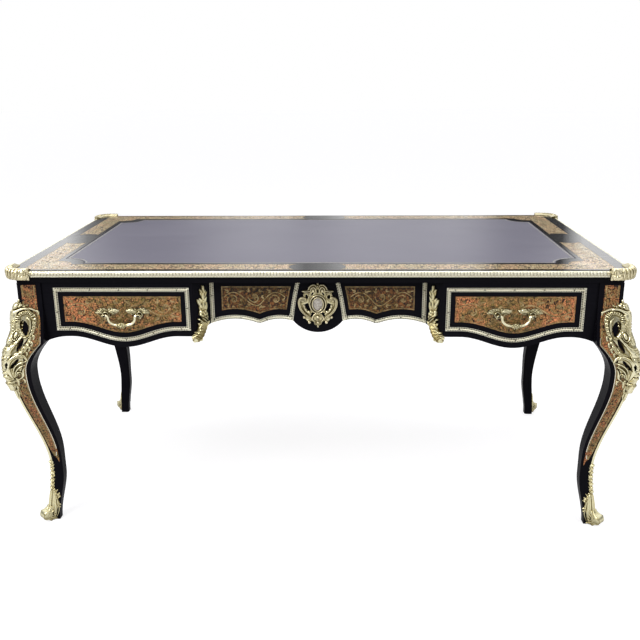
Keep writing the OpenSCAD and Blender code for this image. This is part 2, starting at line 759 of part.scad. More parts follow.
// The two marquetry sheets of the centre drawer: straight outside, curved beside the medallion
module centre_sheets(grow) {
    inset = frame_w + band_w + 8;
    low = frame_w + band_w + 3;
    top = centre_top - 19;
    for (s = [0, 1]) mirror([s, 0]) let (
        x1 = centre_half - inset,
        x0 = medal_half + frame_w + band_w - 3)
        polygon(concat(
            [[x1 + grow, top + grow]],
            [for (z = steps(top, arch(x0) + low, 8)) [medal_side(z) + frame_w + band_w - 3 - grow, z + (z == top ? grow : 0)]],
            [for (x = steps(x0, x1, 22)) [x, arch(x) + low - grow]],
            [[x1 + grow, arch(x1) + low - grow]]
        ));
}

module drawer_inlay_centre() {
    color(boulle) to_front(-centre_y + inlay_t - shown, inlay_t) centre_sheets(0);
}

// One half of the centre drawer's border between the distances a and b from its outline
module centre_u(a, b) {
    inner = centre_edge(medal_half + a, centre_half - gap - a, 26, a);
    outer = centre_edge(medal_half + b, centre_half - gap - b, 26, b);
    polygon(concat(
        [[medal_side(centre_top) + b, centre_top], [medal_side(centre_top) + a, centre_top]],
        [for (z = steps(centre_top - 12, arch(medal_half + a) + a + 8, 7)) [medal_side(z) + a, z]],
        inner,
        [[centre_half - gap - a, centre_top], [centre_half - gap - b, centre_top]],
        flip(outer),
        [for (z = steps(arch(medal_half + b) + b + 8, centre_top - 12, 7)) [medal_side(z) + b, z]]
    ));
}

module drawer_frame_centre() {
    color(bronze)
    for (s = [0, 1]) mirror([s, 0, 0]) {
        to_front(-centre_y, 0.6 * frame_t) centre_u(0, frame_w);
        to_front(-centre_y, frame_t) centre_u(0.3 * frame_w, 0.7 * frame_w);
    }
}

module drawer_box_centre() {
    drawer_box(-centre_box_x, centre_box_x, -centre_y + board_t, centre_box_z, centre_box_h);
}

module drawer_bottom_centre() {
    drawer_bottom(-centre_box_x, centre_box_x, -centre_y + board_t, centre_box_z);
}

// Carcass

post_x = centre_half + post_w;
post_flat = 7;
post_back = 28;
partition_x = centre_half + (post_w - partition_t) / 2;

// Top rail, shaped lower rail and the stile beside the leg, each its own board
module front_rails() {
    stile_x = side_x1 + gap;
    color(ebony) {
        to_front(-face_y + board_t, board_t) {
            translate([post_x, side_top + gap]) square([stile_x - post_x + bite_in, frieze_z - side_top - gap]);
            difference() {
                polygon(concat([[post_x, side_z]], rail_edge(post_x, inner_x, side_c), [[inner_x, frieze_z], [stile_x, side_z]]));
                polygon(concat([[post_x - 1, side_z + 1], [post_x - 1, side_z - gap]],
                    belly_edge(side_x0 - gap, stile_x, side_c, side_z - gap, 0), [[stile_x, side_z + 1]]));
                translate([stile_x + bite_in, 0]) square([stile_w, frieze_z]);
            }
        }
        to_front(-face_y + board_t, board_t) intersection() {
            polygon(concat([[post_x, frieze_z]], rail_edge(post_x, inner_x, side_c), [[inner_x, frieze_z]]));
            translate([stile_x, 0]) square([stile_w, frieze_z]);
        }
        mirror([0, 1, 0]) tenon_x(board_mid_y, 0);
    }
}

module partition() {
    back = centre_y - board_t;
    color(ebony)
    intersection() {
        translate([0, 0, medal_z]) linear_extrude(frieze_z - medal_z) polygon([
            [centre_half, -centre_y], [post_x - post_flat, -face_y], [post_x, -face_y],
            [post_x, -face_y + board_t + post_back], [partition_x + partition_t, -face_y + board_t + post_back],
            [partition_x + partition_t, back], [partition_x, back],
            [partition_x, -centre_y + post_back], [centre_half, -centre_y + post_back]
        ]);
        to_front(desk_d, 2 * desk_d) polygon([[centre_half - 1, frieze_z], [centre_half - 1, arch(centre_half)],
            [centre_half, arch(centre_half)], [post_x, rail_z], [post_x + 1, rail_z], [post_x + 1, frieze_z]]);
    }
}

module side_apron() {
    reach = inner_y;
    color(ebony) {
        difference() {
            to_right(face_x - board_t, board_t)
                polygon(concat([[-reach, frieze_z]], apron_edge(reach), [[reach, frieze_z]]));
            apron_sheet(seat);
        }
        for (sy = [-1, 1]) mirror([0, sy < 0 ? 1 : 0, 0]) tenon_y(board_mid_x, 0);
    }
}

// Marquetry of a side apron, let into its face
module apron_sheet(grow) {
    translate([face_x - inlay_t + shown, 0, 0]) rotate([0, 0, 90])
        to_front(0, inlay_t) polygon(panel_outline(-apron_half, apron_half, 0, inlay_inset - grow));
}

function apron_edge(reach) = [for (y = steps(-reach, reach, 60))
    [y, rail_z - belly * wave(y) - leg_dip * pow(max(0, (abs(y) - reach + 64) / 64), 2)]];

// The back repeats the breakfront of the front in one board with false drawers
module back_apron() {
    step = post_x - post_flat;
    inside = partition_x + partition_t;
    half = concat([[centre_half, arch(centre_half)]], rail_edge(post_x, inner_x, side_c));
    color(ebony) difference() {
        union() {
            for (sx = [-1, 1]) at_side(sx) tenon_x(board_mid_y, 0);
            intersection() {
                translate([0, 0, medal_z - 1]) linear_extrude(frieze_z - medal_z + 1) polygon([
                    [inner_x, face_y], [step, face_y], [centre_half, centre_y], [-centre_half, centre_y],
                    [-step, face_y], [-inner_x, face_y], [-inner_x, face_y - board_t], [-inside, face_y - board_t],
                    [-inside, centre_y - board_t], [inside, centre_y - board_t], [inside, face_y - board_t],
                    [inner_x, face_y - board_t]
                ]);
                to_front(desk_d, desk_d) polygon(concat(
                    [[inner_x, frieze_z], [-inner_x, frieze_z]],
                    [for (p = flip(half)) [-p.x, p.y]],
                    [for (p = centre_edge(centre_half, medal_half, 28, 0)) [-p.x, p.y]],
                    arc([0, medal_z + medal_r], medal_r, medal_r, 270 - medal_turn, 270 + medal_turn, 16),
                    flip(centre_edge(centre_half, medal_half, 28, 0)),
                    half
                ));
            }
        }
        back_sheets(seat);
    }
}

module bar_section(points, y0, y1) {
    to_front(y1, y1 - y0) polygon(points);
}

// A runner with its guide: the drawer side stands on the flat between wall and edge
function runner_section(wall, edge, guide, z) = [
    [wall, z - runner_t], [edge, z - runner_t], [edge, z], [guide, z], [guide, z + guide_h], [wall, z + guide_h]
];

runner_over = 3;
post_end = -face_y + board_t + post_back;

module drawer_runners() {
    part_in = partition_x;
    part_out = partition_x + partition_t;
    color(oak)
    for (sx = [-1, 1]) at_side(sx) {
        bar_section(runner_section(part_out, side_x0 + side_t + runner_over, side_x0 - gap, box_z - running),
            post_end, face_y - board_t);
        bar_section(runner_section(inner_x, side_x1 - side_t - runner_over, side_x1 + gap, box_z - running),
            -face_y + board_t, face_y - board_t);
        bar_section(runner_section(part_in, centre_box_x - side_t - runner_over, centre_box_x + gap,
            centre_box_z - running), -centre_y + post_back, centre_y - board_t);
    }
}

module kicker(x0, x1, y0, y1, z) {
    translate([x0, y0, z + gap]) cube([x1 - x0, y1 - y0, frieze_z - z - gap]);
}

module drawer_kickers() {
    color(oak)
    for (sx = [-1, 1]) at_side(sx) {
        kicker(partition_x + partition_t, side_x0 + side_t, post_end, face_y - board_t, box_z + box_h);
        kicker(side_x1 - side_t, inner_x, -face_y + board_t, face_y - board_t, box_z + box_h);
        kicker(centre_box_x - side_t, partition_x, -centre_y + post_back, centre_y - board_t,
            centre_box_z + centre_box_h);
    }
}

stop_len = 14;
stop_h = 18;

module stop_block(x, y, z) {
    translate([x, y + box_len + running, z - running]) cube([side_t, stop_len, stop_h]);
}

module drawer_stops() {
    color(oak)
    for (sx = [-1, 1]) at_side(sx) {
        stop_block(side_x0, -face_y + board_t, box_z);
        stop_block(side_x1 - side_t, -face_y + board_t, box_z);
        stop_block(centre_box_x - side_t, -centre_y + board_t, centre_box_z);
    }
}

// Applied frames and sheets on the side aprons and the back

apron_half = 0.82 * inner_y;

module apron_frames() {
    color(bronze) {
        for (sx = [-1, 1]) at_side(sx) translate([face_x, 0, 0]) rotate([0, 0, 90])
            panel_frame(0, -apron_half, apron_half, 0);
        for (sx = [-1, 1]) at_side(sx) at_back() panel_frame(-face_y, side_x0, side_x1, side_c);
        for (s = [0, 1]) mirror([s, 0, 0]) at_back() {
            to_front(-centre_y, 0.6 * frame_t) centre_u(0, frame_w);
            to_front(-centre_y, frame_t) centre_u(0.3 * frame_w, 0.7 * frame_w);
        }
    }
}

// Marquetry of the back's false drawers, let into its faces
module back_sheets(grow) {
    at_back() {
        for (sx = [-1, 1]) at_side(sx) to_front(-face_y + inlay_t - shown, inlay_t)
            polygon(panel_outline(side_x0, side_x1, side_c, inlay_inset - grow));
        to_front(-centre_y + inlay_t - shown, inlay_t) centre_sheets(grow);
    }
}

module apron_inlays() {
    color(boulle) {
        for (sx = [-1, 1]) at_side(sx) apron_sheet(0);
        back_sheets(0);
    }
}

// Handles

plate_t = 2.5;
post_r = 4.6;
plate_y = -face_y - shown;
pivot_y = plate_y - stand_off;

// Outline of a leafy plate about its post: a fan of leaves away from the handle's middle and a long leaf to it
leaf_plate = soften([[28, 6], [21, 13], [16, 13], [13, 17], [6, 18], [-1, 17], [-6, 12], [-10, 17], [-14, 14.5],
    [-19, 17], [-25, 15], [-31, 15], [-38, 11], [-33, 4], [-26, 3], [-20, 0.5], [-14, 2], [-11, -2], [-10, -8],
    [-5, -10.5], [0, -12.5], [4.5, -9], [7, -3], [9, 2], [14, 0.5], [18, 4], [25, 3]]);

// Half the section of a post: a foot, a neck and the round eye that the pin turns in
neck_share = 0.62;
post_profile = concat(
    [[0, bite_in], [post_r, bite_in], [post_r, 1.4 * plate_t], [neck_share * post_r, 2.6 * plate_t]],
    arc([0, stand_off], post_r, post_r, -acos(neck_share), 90, 9)
);

module handle_plates() {
    color(bronze)
    for (s = [-1, 1]) translate([side_c, 0, handle_z]) mirror([s < 0 ? 1 : 0, 0, 0])
        translate([post_gap / 2, 0, 0]) difference() {
            union() {
                to_front(plate_y, plate_t) polygon(leaf_plate);
                translate([0, plate_y, 0]) rotate([90, 0, 0]) rotate_extrude($fn = 48) polygon(post_profile);
            }
            translate([-2 * post_r, pivot_y, 0]) rotate([0, 90, 0])
                cylinder(r = pin_r + pin_clear, h = 4 * post_r, $fn = 32);
        }
}

pin_out = post_r + 1;
collar_x = post_gap / 2 - post_r - 0.6;
collar_r = bail_r + 0.6;
elbow_r = collar_r + 0.4;
bail_x = collar_x - elbow_r - 0.4;
knot_half = 4.2;
bead_half = 2.8;
bead_x = 8;

// Height of the bail's line below its pins, and its radius there, swollen at the knot's three beads
function bail_z(x) = -elbow_r - (bail_drop - elbow_r) * pow(1 - pow(x / bail_x, 2.86), 0.45);
function bulge(x, half) = sqrt(max(0, 1 - pow(x / half, 2)));
function bail_w(x) = bail_r * (1 + 0.35 * bulge(x, knot_half) + 0.2 * bulge(x - bead_x, bead_half));

// Half of the bail, from the end of its pin to its middle, as rows of x, z and radius
bail_half = concat(
    [[post_gap / 2 + pin_out, 0, pin_r], [collar_x, 0, pin_r], [collar_x, 0, collar_r]],
    [for (a = steps(0, 90, 3)) [bail_x + elbow_r * (1 - sin(a)), -elbow_r * (1 - cos(a)), collar_r - 0.006 * a]],
    [for (t = steps(9, 66, 8)) let (x = bail_x * pow(cos(t), 0.7)) [x, bail_z(x), bail_r]],
    [for (x = concat(steps(bead_x + bead_half, bead_x - bead_half, 4), steps(knot_half, 0, 3)))
        [x, bail_z(x), bail_w(x)]]
);
bail_rows = concat(bail_half, [for (p = flip(bail_half)) if (p.x > 0) [-p.x, p.y, p.z]]);

// A round rod through rows of x, z and radius
module round_rod(rows, sides) {
    n = len(rows);
    function dir(i) = let (d = rows[min(i + 1, n - 1)] - rows[max(i - 1, 0)]) [d.x, d.y] / norm([d.x, d.y]);
    loft([for (i = [0:n - 1]) let (d = dir(i), u = [-d.y, d.x], r = rows[i].z)
        [for (k = [0:sides - 1]) let (a = -360 * k / sides)
            [rows[i].x + r * cos(a) * u.x, r * sin(a), rows[i].y + r * cos(a) * u.y]]]);
}

module handle_bail() {
    color(bronze) translate([side_c, pivot_y, handle_z]) round_rod(bail_rows, 10);
}

// Cartouche on the medallion

cart_z = medal_z + 87;
cart_t = 5;

// Half of the cartouche's edge from its finial down to its tail, past the crown, the side scroll and the drop
cart_edge = [[0, 61], [3.5, 56], [3, 51], [7, 52], [12, 55], [18, 53], [23, 47.5], [26, 41], [28, 37], [36, 36.5],
    [44, 36.5], [43, 32], [37, 30], [38.5, 24], [40, 18], [46, 18], [52, 14], [55, 6], [55.5, -4], [52.5, -15],
    [45, -28], [36, -37.5], [24, -47.5], [14, -54], [7.5, -57], [7, -62], [2.5, -66], [0, -74]];
// The stone's middle and half sizes, and the openings on one side of it
stone = [0, -3];
stone_r = [13, 17];
scroll_gap = soften([[39, -5], [33, -1], [27, 1], [24.5, -8], [22, -15], [18.5, -21], [23, -24], [28, -22], [35, -12]]);
drop_gap = soften([[16, -25], [7.5, -32], [16, -42], [22.5, -37]]);
// Height and radius of the pearls down the middle, and place and radius of those beside the drop
drop_pearls = [[-28, 3], [-40, 4], [-56.5, 3.4], [-66, 2.4]];
side_pearls = [[38.5, -41.5, 4], [24, -56, 4.6]];

module opening(x, z, turn, half_w, half_h) {
    translate([x, z]) rotate(turn) polygon(arc([0, 0], half_w, half_h, 0, 345, 23));
}

module cartouche_outline() {
    difference() {
        polygon(soften(concat(cart_edge, [for (p = flip(cart_edge)) if (p.x > 0) [-p.x, p.y]])));
        polygon(arc(stone, stone_r.x + seat, stone_r.y + seat, 0, 350, 35));
        opening(0, 34, 0, 2.2, 6.5);
        for (s = [0, 1]) mirror([s, 0]) {
            opening(15, 26.5, 30, 2.6, 6);
            opening(31, 18.5, -15, 4, 6.5);
            polygon(scroll_gap);
            polygon(drop_gap);
        }
    }
    for (s = [0, 1]) mirror([s, 0]) {
        for (p = side_pearls) translate([p.x, p.y]) circle(p.z, $fn = 24);
        polygon([[27, -44], [37, -36.5], [39, -41], [25, -57], [17, -50]]);
    }
}

module cartouche() {
    color(bronze) translate([0, 0, cart_z]) {
        to_front(-centre_y - seat, cart_t) cartouche_outline();
        for (p = drop_pearls) translate([0, -centre_y - seat - cart_t, p.x]) sphere(r = p.y, $fn = 24);
    }
}

module cabochon() {
    color("#b9b2a6") translate([0, 0, cart_z]) {
        to_front(-centre_y - seat, cart_t + 1) polygon(arc(stone, stone_r.x, stone_r.y, 0, 350, 35));
        to_front(-centre_y - seat, cart_t + 3) polygon(arc(stone, 0.7 * stone_r.x, 0.72 * stone_r.y, 0, 345, 23));
    }
}

module back_cartouche() {
    at_back() {
        cartouche();
        cabochon();
    }
}

// Leaf mounts on the slanting face between centre and side sections

slant_len = norm([post_x - post_flat - centre_half, recess]);
slant_turn = atan2(-recess, post_x - post_flat - centre_half);
leaf_t = 5;
leaf_top = frieze_z - 18;
leaf_low = rail_z - 12;

// A leaf that grows from its foot at p in the direction a, with its width swelling to w
module leaf(p, a, length, w) {
    translate(p) rotate(a) polygon(concat([[0, 0]],
        [for (t = steps(0.1, 0.9, 6)) [length * t, w / 2 * sin(180 * pow(t, 0.75))]], [[length, 0]],
        [for (t = steps(0.9, 0.1, 6)) [length * t, -w / 2 * sin(180 * pow(t, 0.75))]]));
}

// Height, slope, length and width of each pair of leaves, as shares of the mount's height
leaf_pairs = [[0.18, 62, 0.13, 0.05], [0.32, 55, 0.15, 0.06], [0.48, 52, 0.15, 0.075], [0.78, 38, 0.17, 0.08]];

// A stem of leaf pairs with a bud above, a rose at its middle and an acanthus that sweeps outward below
module leaf_outline() {
    span = leaf_top - leaf_low;
    mid = slant_len / 2 - 3;
    sweep = [for (t = steps(0, 1, 8)) [mid + 0.17 * span * pow(t, 1.8), leaf_top - (0.6 + 0.4 * t) * span]];
    leaf([mid, leaf_top - 0.14 * span], 90, 0.14 * span, 0.06 * span);
    for (p = leaf_pairs) for (s = [-1, 1])
        leaf([mid, leaf_top - p[0] * span], 90 + s * (90 - p[1]), p[2] * span, p[3] * span);
    translate([mid - 2.5, leaf_top - 0.6 * span]) square([5, 0.5 * span]);
    translate([mid, leaf_top - 0.52 * span]) for (a = [0:72:288]) rotate(a) translate([6, 0]) circle(6, $fn = 32);
    polygon(concat(
        [for (k = [0:8]) sweep[k] + [3 + 10 * sin(180 * k / 9) + (k == 8 ? 8 : 0), k % 2 == 0 ? 2 : -1]],
        flip([for (k = [0:8]) sweep[k] - [4 + 12 * sin(180 * k / 9), 0]])
    ));
}

module leaf_mount() {
    span = leaf_top - leaf_low;
    mid = slant_len / 2 - 3;
    curl_r = 8;
    color(bronze)
    translate([centre_half, -centre_y, 0]) rotate([0, 0, slant_turn]) {
        to_front(-seat, leaf_t) leaf_outline();
        translate([mid, -seat - leaf_t, leaf_top - 0.52 * span]) sphere(r = 5, $fn = 32);
        for (p = leaf_pairs) translate([mid, -seat - leaf_t, leaf_top - p[0] * span]) sphere(r = 3, $fn = 24);
        translate([mid + 0.17 * span, -seat - curl_r, leaf_low + 0.6 * curl_r]) rotate([0, 90, 0])
            cylinder(r = curl_r, h = 24, center = true, $fn = 32);
    }
}

module back_leaf_mounts() {
    for (sx = [-1, 1]) at_side(sx) at_back() leaf_mount();
}

top_panel();
leather_panel();
top_inlays();
edge_mouldings();
at_corner(-1, -1) top_corner();  // top_corner_front_left
at_corner(1, -1) top_corner();  // top_corner_front_right
at_corner(-1, 1) top_corner();  // top_corner_back_left
at_corner(1, 1) top_corner();  // top_corner_back_right
at_corner(-1, -1) leg();  // leg_front_left
at_corner(1, -1) leg();  // leg_front_right
at_corner(-1, 1) leg();  // leg_back_left
at_corner(1, 1) leg();  // leg_back_right
at_corner(-1, -1) knee_mount();  // knee_mount_front_left
at_corner(1, -1) knee_mount();  // knee_mount_front_right
at_corner(-1, 1) knee_mount();  // knee_mount_back_left
at_corner(1, 1) knee_mount();  // knee_mount_back_right
at_corner(-1, -1) sabot();  // sabot_front_left
at_corner(1, -1) sabot();  // sabot_front_right
at_corner(-1, 1) sabot();  // sabot_back_left
at_corner(1, 1) sabot();  // sabot_back_right
arris_fillets();
leg_inlays();
at_side(-1) side_apron();  // side_apron_left
at_side(1) side_apron();  // side_apron_right
back_apron();
at_side(-1) front_rails();  // front_rails_left
at_side(1) front_rails();  // front_rails_right
at_side(-1) partition();  // partition_left
at_side(1) partition();  // partition_right
drawer_runners();
drawer_kickers();
drawer_stops();
at_side(-1) side_front();  // drawer_front_left
drawer_front_centre();
at_side(1) side_front();  // drawer_front_right
at_side(-1) side_box();  // drawer_box_left
drawer_box_centre();
at_side(1) side_box();  // drawer_box_right
at_side(-1) side_bottom();  // drawer_bottom_left
drawer_bottom_centre();
at_side(1) side_bottom();  // drawer_bottom_right
at_side(-1) side_frame();  // drawer_frame_left
drawer_frame_centre();
at_side(1) side_frame();  // drawer_frame_right
at_side(-1) side_inlay();  // drawer_inlay_left
drawer_inlay_centre();
at_side(1) side_inlay();  // drawer_inlay_right
at_side(-1) handle_plates();  // handle_plates_left
at_side(1) handle_plates();  // handle_plates_right
at_side(-1) handle_bail();  // handle_bail_left
at_side(1) handle_bail();  // handle_bail_right
cartouche();
cabochon();
at_side(-1) leaf_mount();  // leaf_mount_left
at_side(1) leaf_mount();  // leaf_mount_right
back_cartouche();
back_leaf_mounts();
apron_frames();
apron_inlays();
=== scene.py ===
"""Looks of a bureau plat: ebonised wood, brass and shell marquetry, gilt bronze mounts and a leather top."""

import math
import random

import bpy
import numpy as np
from mathutils import Matrix, Vector
from mathutils.bvhtree import BVHTree


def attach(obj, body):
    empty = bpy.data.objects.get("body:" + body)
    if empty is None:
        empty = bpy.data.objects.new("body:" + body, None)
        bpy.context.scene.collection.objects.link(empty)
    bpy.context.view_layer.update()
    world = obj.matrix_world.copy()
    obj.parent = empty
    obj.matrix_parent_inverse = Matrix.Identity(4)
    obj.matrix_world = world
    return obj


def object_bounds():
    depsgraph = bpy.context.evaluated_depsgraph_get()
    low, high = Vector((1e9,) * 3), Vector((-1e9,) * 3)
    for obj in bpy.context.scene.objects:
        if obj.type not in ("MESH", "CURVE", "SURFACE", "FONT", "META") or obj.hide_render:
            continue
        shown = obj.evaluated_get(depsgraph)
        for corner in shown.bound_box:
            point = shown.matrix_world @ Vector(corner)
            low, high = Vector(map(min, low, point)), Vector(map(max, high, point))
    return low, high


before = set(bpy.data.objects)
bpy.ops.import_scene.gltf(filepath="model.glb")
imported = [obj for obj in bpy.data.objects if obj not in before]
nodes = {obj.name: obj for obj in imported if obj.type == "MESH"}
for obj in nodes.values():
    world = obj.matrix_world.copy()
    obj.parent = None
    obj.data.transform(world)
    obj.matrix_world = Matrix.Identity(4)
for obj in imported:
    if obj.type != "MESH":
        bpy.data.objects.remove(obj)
cad_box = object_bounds()
chance = random.Random(7)
MM = 0.001
SKIN = 2e-5
BOX_LOW, BOX_HIGH = np.array(cad_box[0]) + SKIN, np.array(cad_box[1]) - SKIN

# The CAD's own places, in millimetres: the slab's half sizes and levels, the legs' blocks, the case's faces, how far
# the inlays and frames stand out of those, where the centre frame ends at its top, then a handle's middle, its posts
# and the fronts of its plate, posts and knot, the cartouche's ground and middle, and a slanting post
SLAB_X, SLAB_Y, TOP_Z, LEATHER_Z = 841.0, 441.0, 783.0, 782.7
BLOCK_X, BLOCK_Y = 830, 430
CASE_X, CASE_Y, CENTRE_Y = 825, 425, 385
INLAY_OUT, FRAME_OUT, FRAME_TOP = 0.3, 4, 743.0
HANDLE_X, HANDLE_Z, HANDLE_REACH = 542.5, 653.7, 48
PLATE_Y, EYE_Y, KNOT_Y, KNOT_Z = -427.7, -440.0, -446.6, 626.4
OVAL_Y, OVAL_Z = 390, 676.5
POST_X, POST_TURN = 304, math.radians(-43.6)
SIDES = {"left": -1, "right": 1}
CORNERS = {"front_left": (-1, -1), "front_right": (1, -1), "back_left": (-1, 1), "back_right": (1, 1)}


# Materials

class Paint:
    """Shader nodes of one material or world, in the piece's own coordinates in metres."""

    def __init__(self, name, kind="materials"):
        self.owner = getattr(bpy.data, kind).new(name)
        self.owner.use_nodes = True
        self.tree = self.owner.node_tree
        self.tree.nodes.clear()
        self.coordinates = self.add("ShaderNodeTexCoord").outputs
        self.where = self.coordinates["Object"]

    def put(self, socket, value):
        if isinstance(value, bpy.types.NodeSocket):
            self.tree.links.new(value, socket)
        elif isinstance(value, tuple) and socket.type == "RGBA":
            socket.default_value = (*value, 1.0)
        else:
            socket.default_value = value

    def add(self, kind, *values, settings=(), **inputs):
        """A node with its settings, its first inputs in their order and others by name."""
        node = self.tree.nodes.new(kind)
        for key, value in dict(settings).items():
            setattr(node, key, value)
        for socket, value in zip(node.inputs, values):
            self.put(socket, value)
        for key, value in inputs.items():
            self.put(node.inputs[key.replace("_", " ")], value)
        return node

    def surface(self, **inputs):
        """Ends the material in a Principled shader and returns it."""
        self.add("ShaderNodeOutputMaterial", self.add("ShaderNodeBsdfPrincipled", **inputs).outputs[0])
        return self.owner

    def stretched(self, scale):
        return self.add("ShaderNodeMapping", Vector=self.where, Scale=scale).outputs[0]

    def noise(self, scale, detail=3.0, roughness=0.5, where=None, distortion=0.0, output="Fac"):
        return self.add("ShaderNodeTexNoise", Vector=where or self.where, Scale=scale, Detail=detail,
                        Roughness=roughness, Distortion=distortion).outputs[output]

    def cells(self, scale, feature, where=None):
        return self.add("ShaderNodeTexVoronoi", settings={"feature": feature}, Vector=where or self.where,
                        Scale=scale).outputs["Distance"]

    def maths(self, operation, *values):
        return self.add("ShaderNodeMath", *values, settings={"operation": operation}).outputs[0]

    def scaled(self, value, factor, offset=0.0):
        return self.maths("MULTIPLY_ADD", value, factor, offset)

    def vectors(self, operation, *values):
        return self.add("ShaderNodeVectorMath", *values, settings={"operation": operation}).outputs

    def split(self, vector):
        return self.add("ShaderNodeSeparateXYZ", vector).outputs

    def warped(self, amount, scale):
        """The piece's coordinates pushed about by a noise, so that straight patterns curl."""
        return self.vectors("MULTIPLY_ADD", self.noise(scale, 1.0, output="Color"), (amount,) * 3, self.where)[0]

    def ramp(self, value, *stops):
        node = self.add("ShaderNodeValToRGB", value)
        line = node.color_ramp.elements
        while len(line) < len(stops):
            line.new(1.0)
        for element, (at, colour) in zip(line, stops):
            element.position = at
            element.color = (*colour, 1.0) if isinstance(colour, tuple) else (colour,) * 3 + (1.0,)
        return node.outputs[0]

    def blend(self, share, first, second):
        node = self.add("ShaderNodeMix", share, settings={"data_type": "RGBA"})
        self.put(node.inputs[6], first)
        self.put(node.inputs[7], second)
        return node.outputs[2]

    def bump(self, height, distance, strength=1.0, normal=None):
        under = {"Normal": normal} if normal else {}
        return self.add("ShaderNodeBump", Height=height, Distance=distance, Strength=strength, **under).outputs[0]

    def hollows(self, distance):
        """1 on open surfaces, less in the hollows of that reach."""
        return self.add("ShaderNodeAmbientOcclusion", settings={"samples": 6}, Distance=distance).outputs["AO"]

    def normal(self):
        return self.add("ShaderNodeNewGeometry").outputs["Normal"]

    def worn(self, radius):
        """1 on sharp edges, 0 on flat surfaces."""
        rounded = self.add("ShaderNodeBevel", settings={"samples": 4}, Radius=radius).outputs[0]
        return self.maths("SUBTRACT", 1.0, self.vectors("DOT_PRODUCT", rounded, self.normal())["Value"])


def ebonised(name, stretch, sheen, coat=0.02):
    """French polished black wood: a faint grain, a skin of polish where it faces up, and rubbed edges."""
    p = Paint(name)
    grain = p.noise(420.0, 5.0, 0.62, p.stretched(stretch))
    cloud = p.noise(7.0, 3.0)
    colour = p.blend(grain, (0.0022, 0.0022, 0.0036), (0.0068, 0.0064, 0.0090))
    rub = p.scaled(p.ramp(p.worn(0.0012), (0.05, 0.0), (0.35, 1.0)), p.ramp(cloud, (0.42, 0.0), (0.6, 0.4)))
    return p.surface(Base_Color=p.blend(rub, colour, (0.040, 0.026, 0.018)), Roughness=p.scaled(cloud, 0.25, 0.14),
                     Coat_Weight=p.ramp(p.split(p.normal())[2], (0.6, 0.02), (0.9, coat)), Coat_Roughness=0.02,
                     Specular_IOR_Level=sheen, IOR=1.25,
                     Normal=p.bump(grain, 0.00002, 0.7, p.bump(p.noise(26.0, 2.0), 0.0004, 0.25)))


def gilded(name, chasing, reach, low, middle, high, gloss):
    """Fire gilt bronze: pale burnished high points, a brown bloom in the hollows that is partly painted shade, painted
    shade under overhangs, and a chased ground.
    """
    p = Paint(name)
    # painted shade: the colour goes darker where a wide reach is closed in, as under the slab's overhang
    painted_overhang_shade = p.ramp(p.hollows(0.09), (0.40, 0.75), (0.88, 0.0))
    fine = p.noise(1300.0, 2.0)
    # the bloom in the hollows: partly the bronze's own brown patina, partly painted shade that deepens to near black
    tone = p.scaled(p.noise(38.0, 4.0, 0.6), 0.30, p.scaled(p.hollows(reach), 1.55, -0.78))
    colour = p.ramp(tone, (0.06, tuple(0.12 * c for c in low)), (0.38, low), (0.68, middle), (0.92, high))
    return p.surface(Metallic=1.0, Base_Color=p.blend(painted_overhang_shade, colour, tuple(0.6 * c for c in low)),
                     Roughness=p.ramp(p.scaled(fine, 0.3, p.scaled(tone, 0.7)), (0.2, 0.55), (0.8, gloss)),
                     Normal=p.bump(fine, 0.00008, 0.4, p.bump(p.cells(chasing, "SMOOTH_F1"), 0.00030, 0.4)))


def marquetry(name, red, olive, curl, share, middle=None, coat=0.12):
    """The sheet: copper red and olive ground cut by dark curls and dull brass tendrils, under polish, with painted
    shade beside raised bronzes and under overhangs.
    """
    p = Paint(name)
    patches = p.noise(19.0, 3.0, 0.6, distortion=0.8)
    if middle is not None:
        away = p.maths("ABSOLUTE", p.maths("SUBTRACT", p.split(p.where)[0], middle))
        patches = p.scaled(away, -1.7, p.maths("ADD", patches, 0.22))
    ground = p.blend(p.ramp(patches, (0.40, 0.0), (0.60, 1.0)), red, olive)
    ground = p.blend(p.ramp(p.noise(170.0, 4.0, 0.65), (0.34, 0.7), (0.52, 0.0)), ground, DARK)
    vine = p.cells(curl, "DISTANCE_TO_EDGE", p.warped(0.020, 50.0))
    twig = p.cells(1.9 * curl, "DISTANCE_TO_EDGE", p.warped(0.009, 110.0))
    cut = p.maths("MAXIMUM", p.ramp(vine, (share, 1.0), (share + 0.04, 0.0)),
                  p.ramp(p.noise(150.0, 2.0), (0.62, 0.0), (0.68, 1.0)))
    wire = p.ramp(twig, (0.05, 1.0), (0.09, 0.0))
    metal = p.blend(p.ramp(p.noise(90.0, 3.0), (0.35, 0.0), (0.65, 1.0)), olive,
                    tuple(min(1.7 * c, 1.0) for c in red))
    # painted shade: the sheet goes dark next to raised bronzes, inside the knee's openings and under the slab's
    # overhang
    shade = p.maths("MAXIMUM", p.ramp(p.hollows(0.018), (0.55, 0.97), (0.90, 0.0)),
                    p.ramp(p.hollows(0.09), (0.45, 0.7), (0.90, 0.0)))
    return p.surface(Base_Color=p.blend(shade, p.blend(cut, p.blend(wire, ground, metal), DARK), DARK),
                     Metallic=p.scaled(wire, 0.5), Roughness=0.5, Specular_IOR_Level=0.2, Coat_Weight=coat,
                     Coat_Roughness=0.03, Normal=p.bump(p.maths("SUBTRACT", wire, cut), 0.00005, 0.4))


def cut_brass(name):
    """Sheet brass of the scrolls and stringing, engraved and dulled by old polish."""
    p = Paint(name)
    cloud = p.noise(60.0, 4.0, 0.6)
    lines = p.maths("SINE", p.scaled(p.noise(160.0, 2.0), 60.0))
    brass = p.ramp(cloud, (0.32, (0.13, 0.085, 0.026)), (0.52, (0.34, 0.24, 0.09)), (0.68, (0.62, 0.47, 0.22)))
    return p.surface(Base_Color=p.blend(p.ramp(lines, (0.78, 0.0), (0.97, 0.7)), brass, DARK), Metallic=0.55,
                     Roughness=p.scaled(cloud, 0.3, 0.15), Coat_Weight=0.25, Coat_Roughness=0.04)


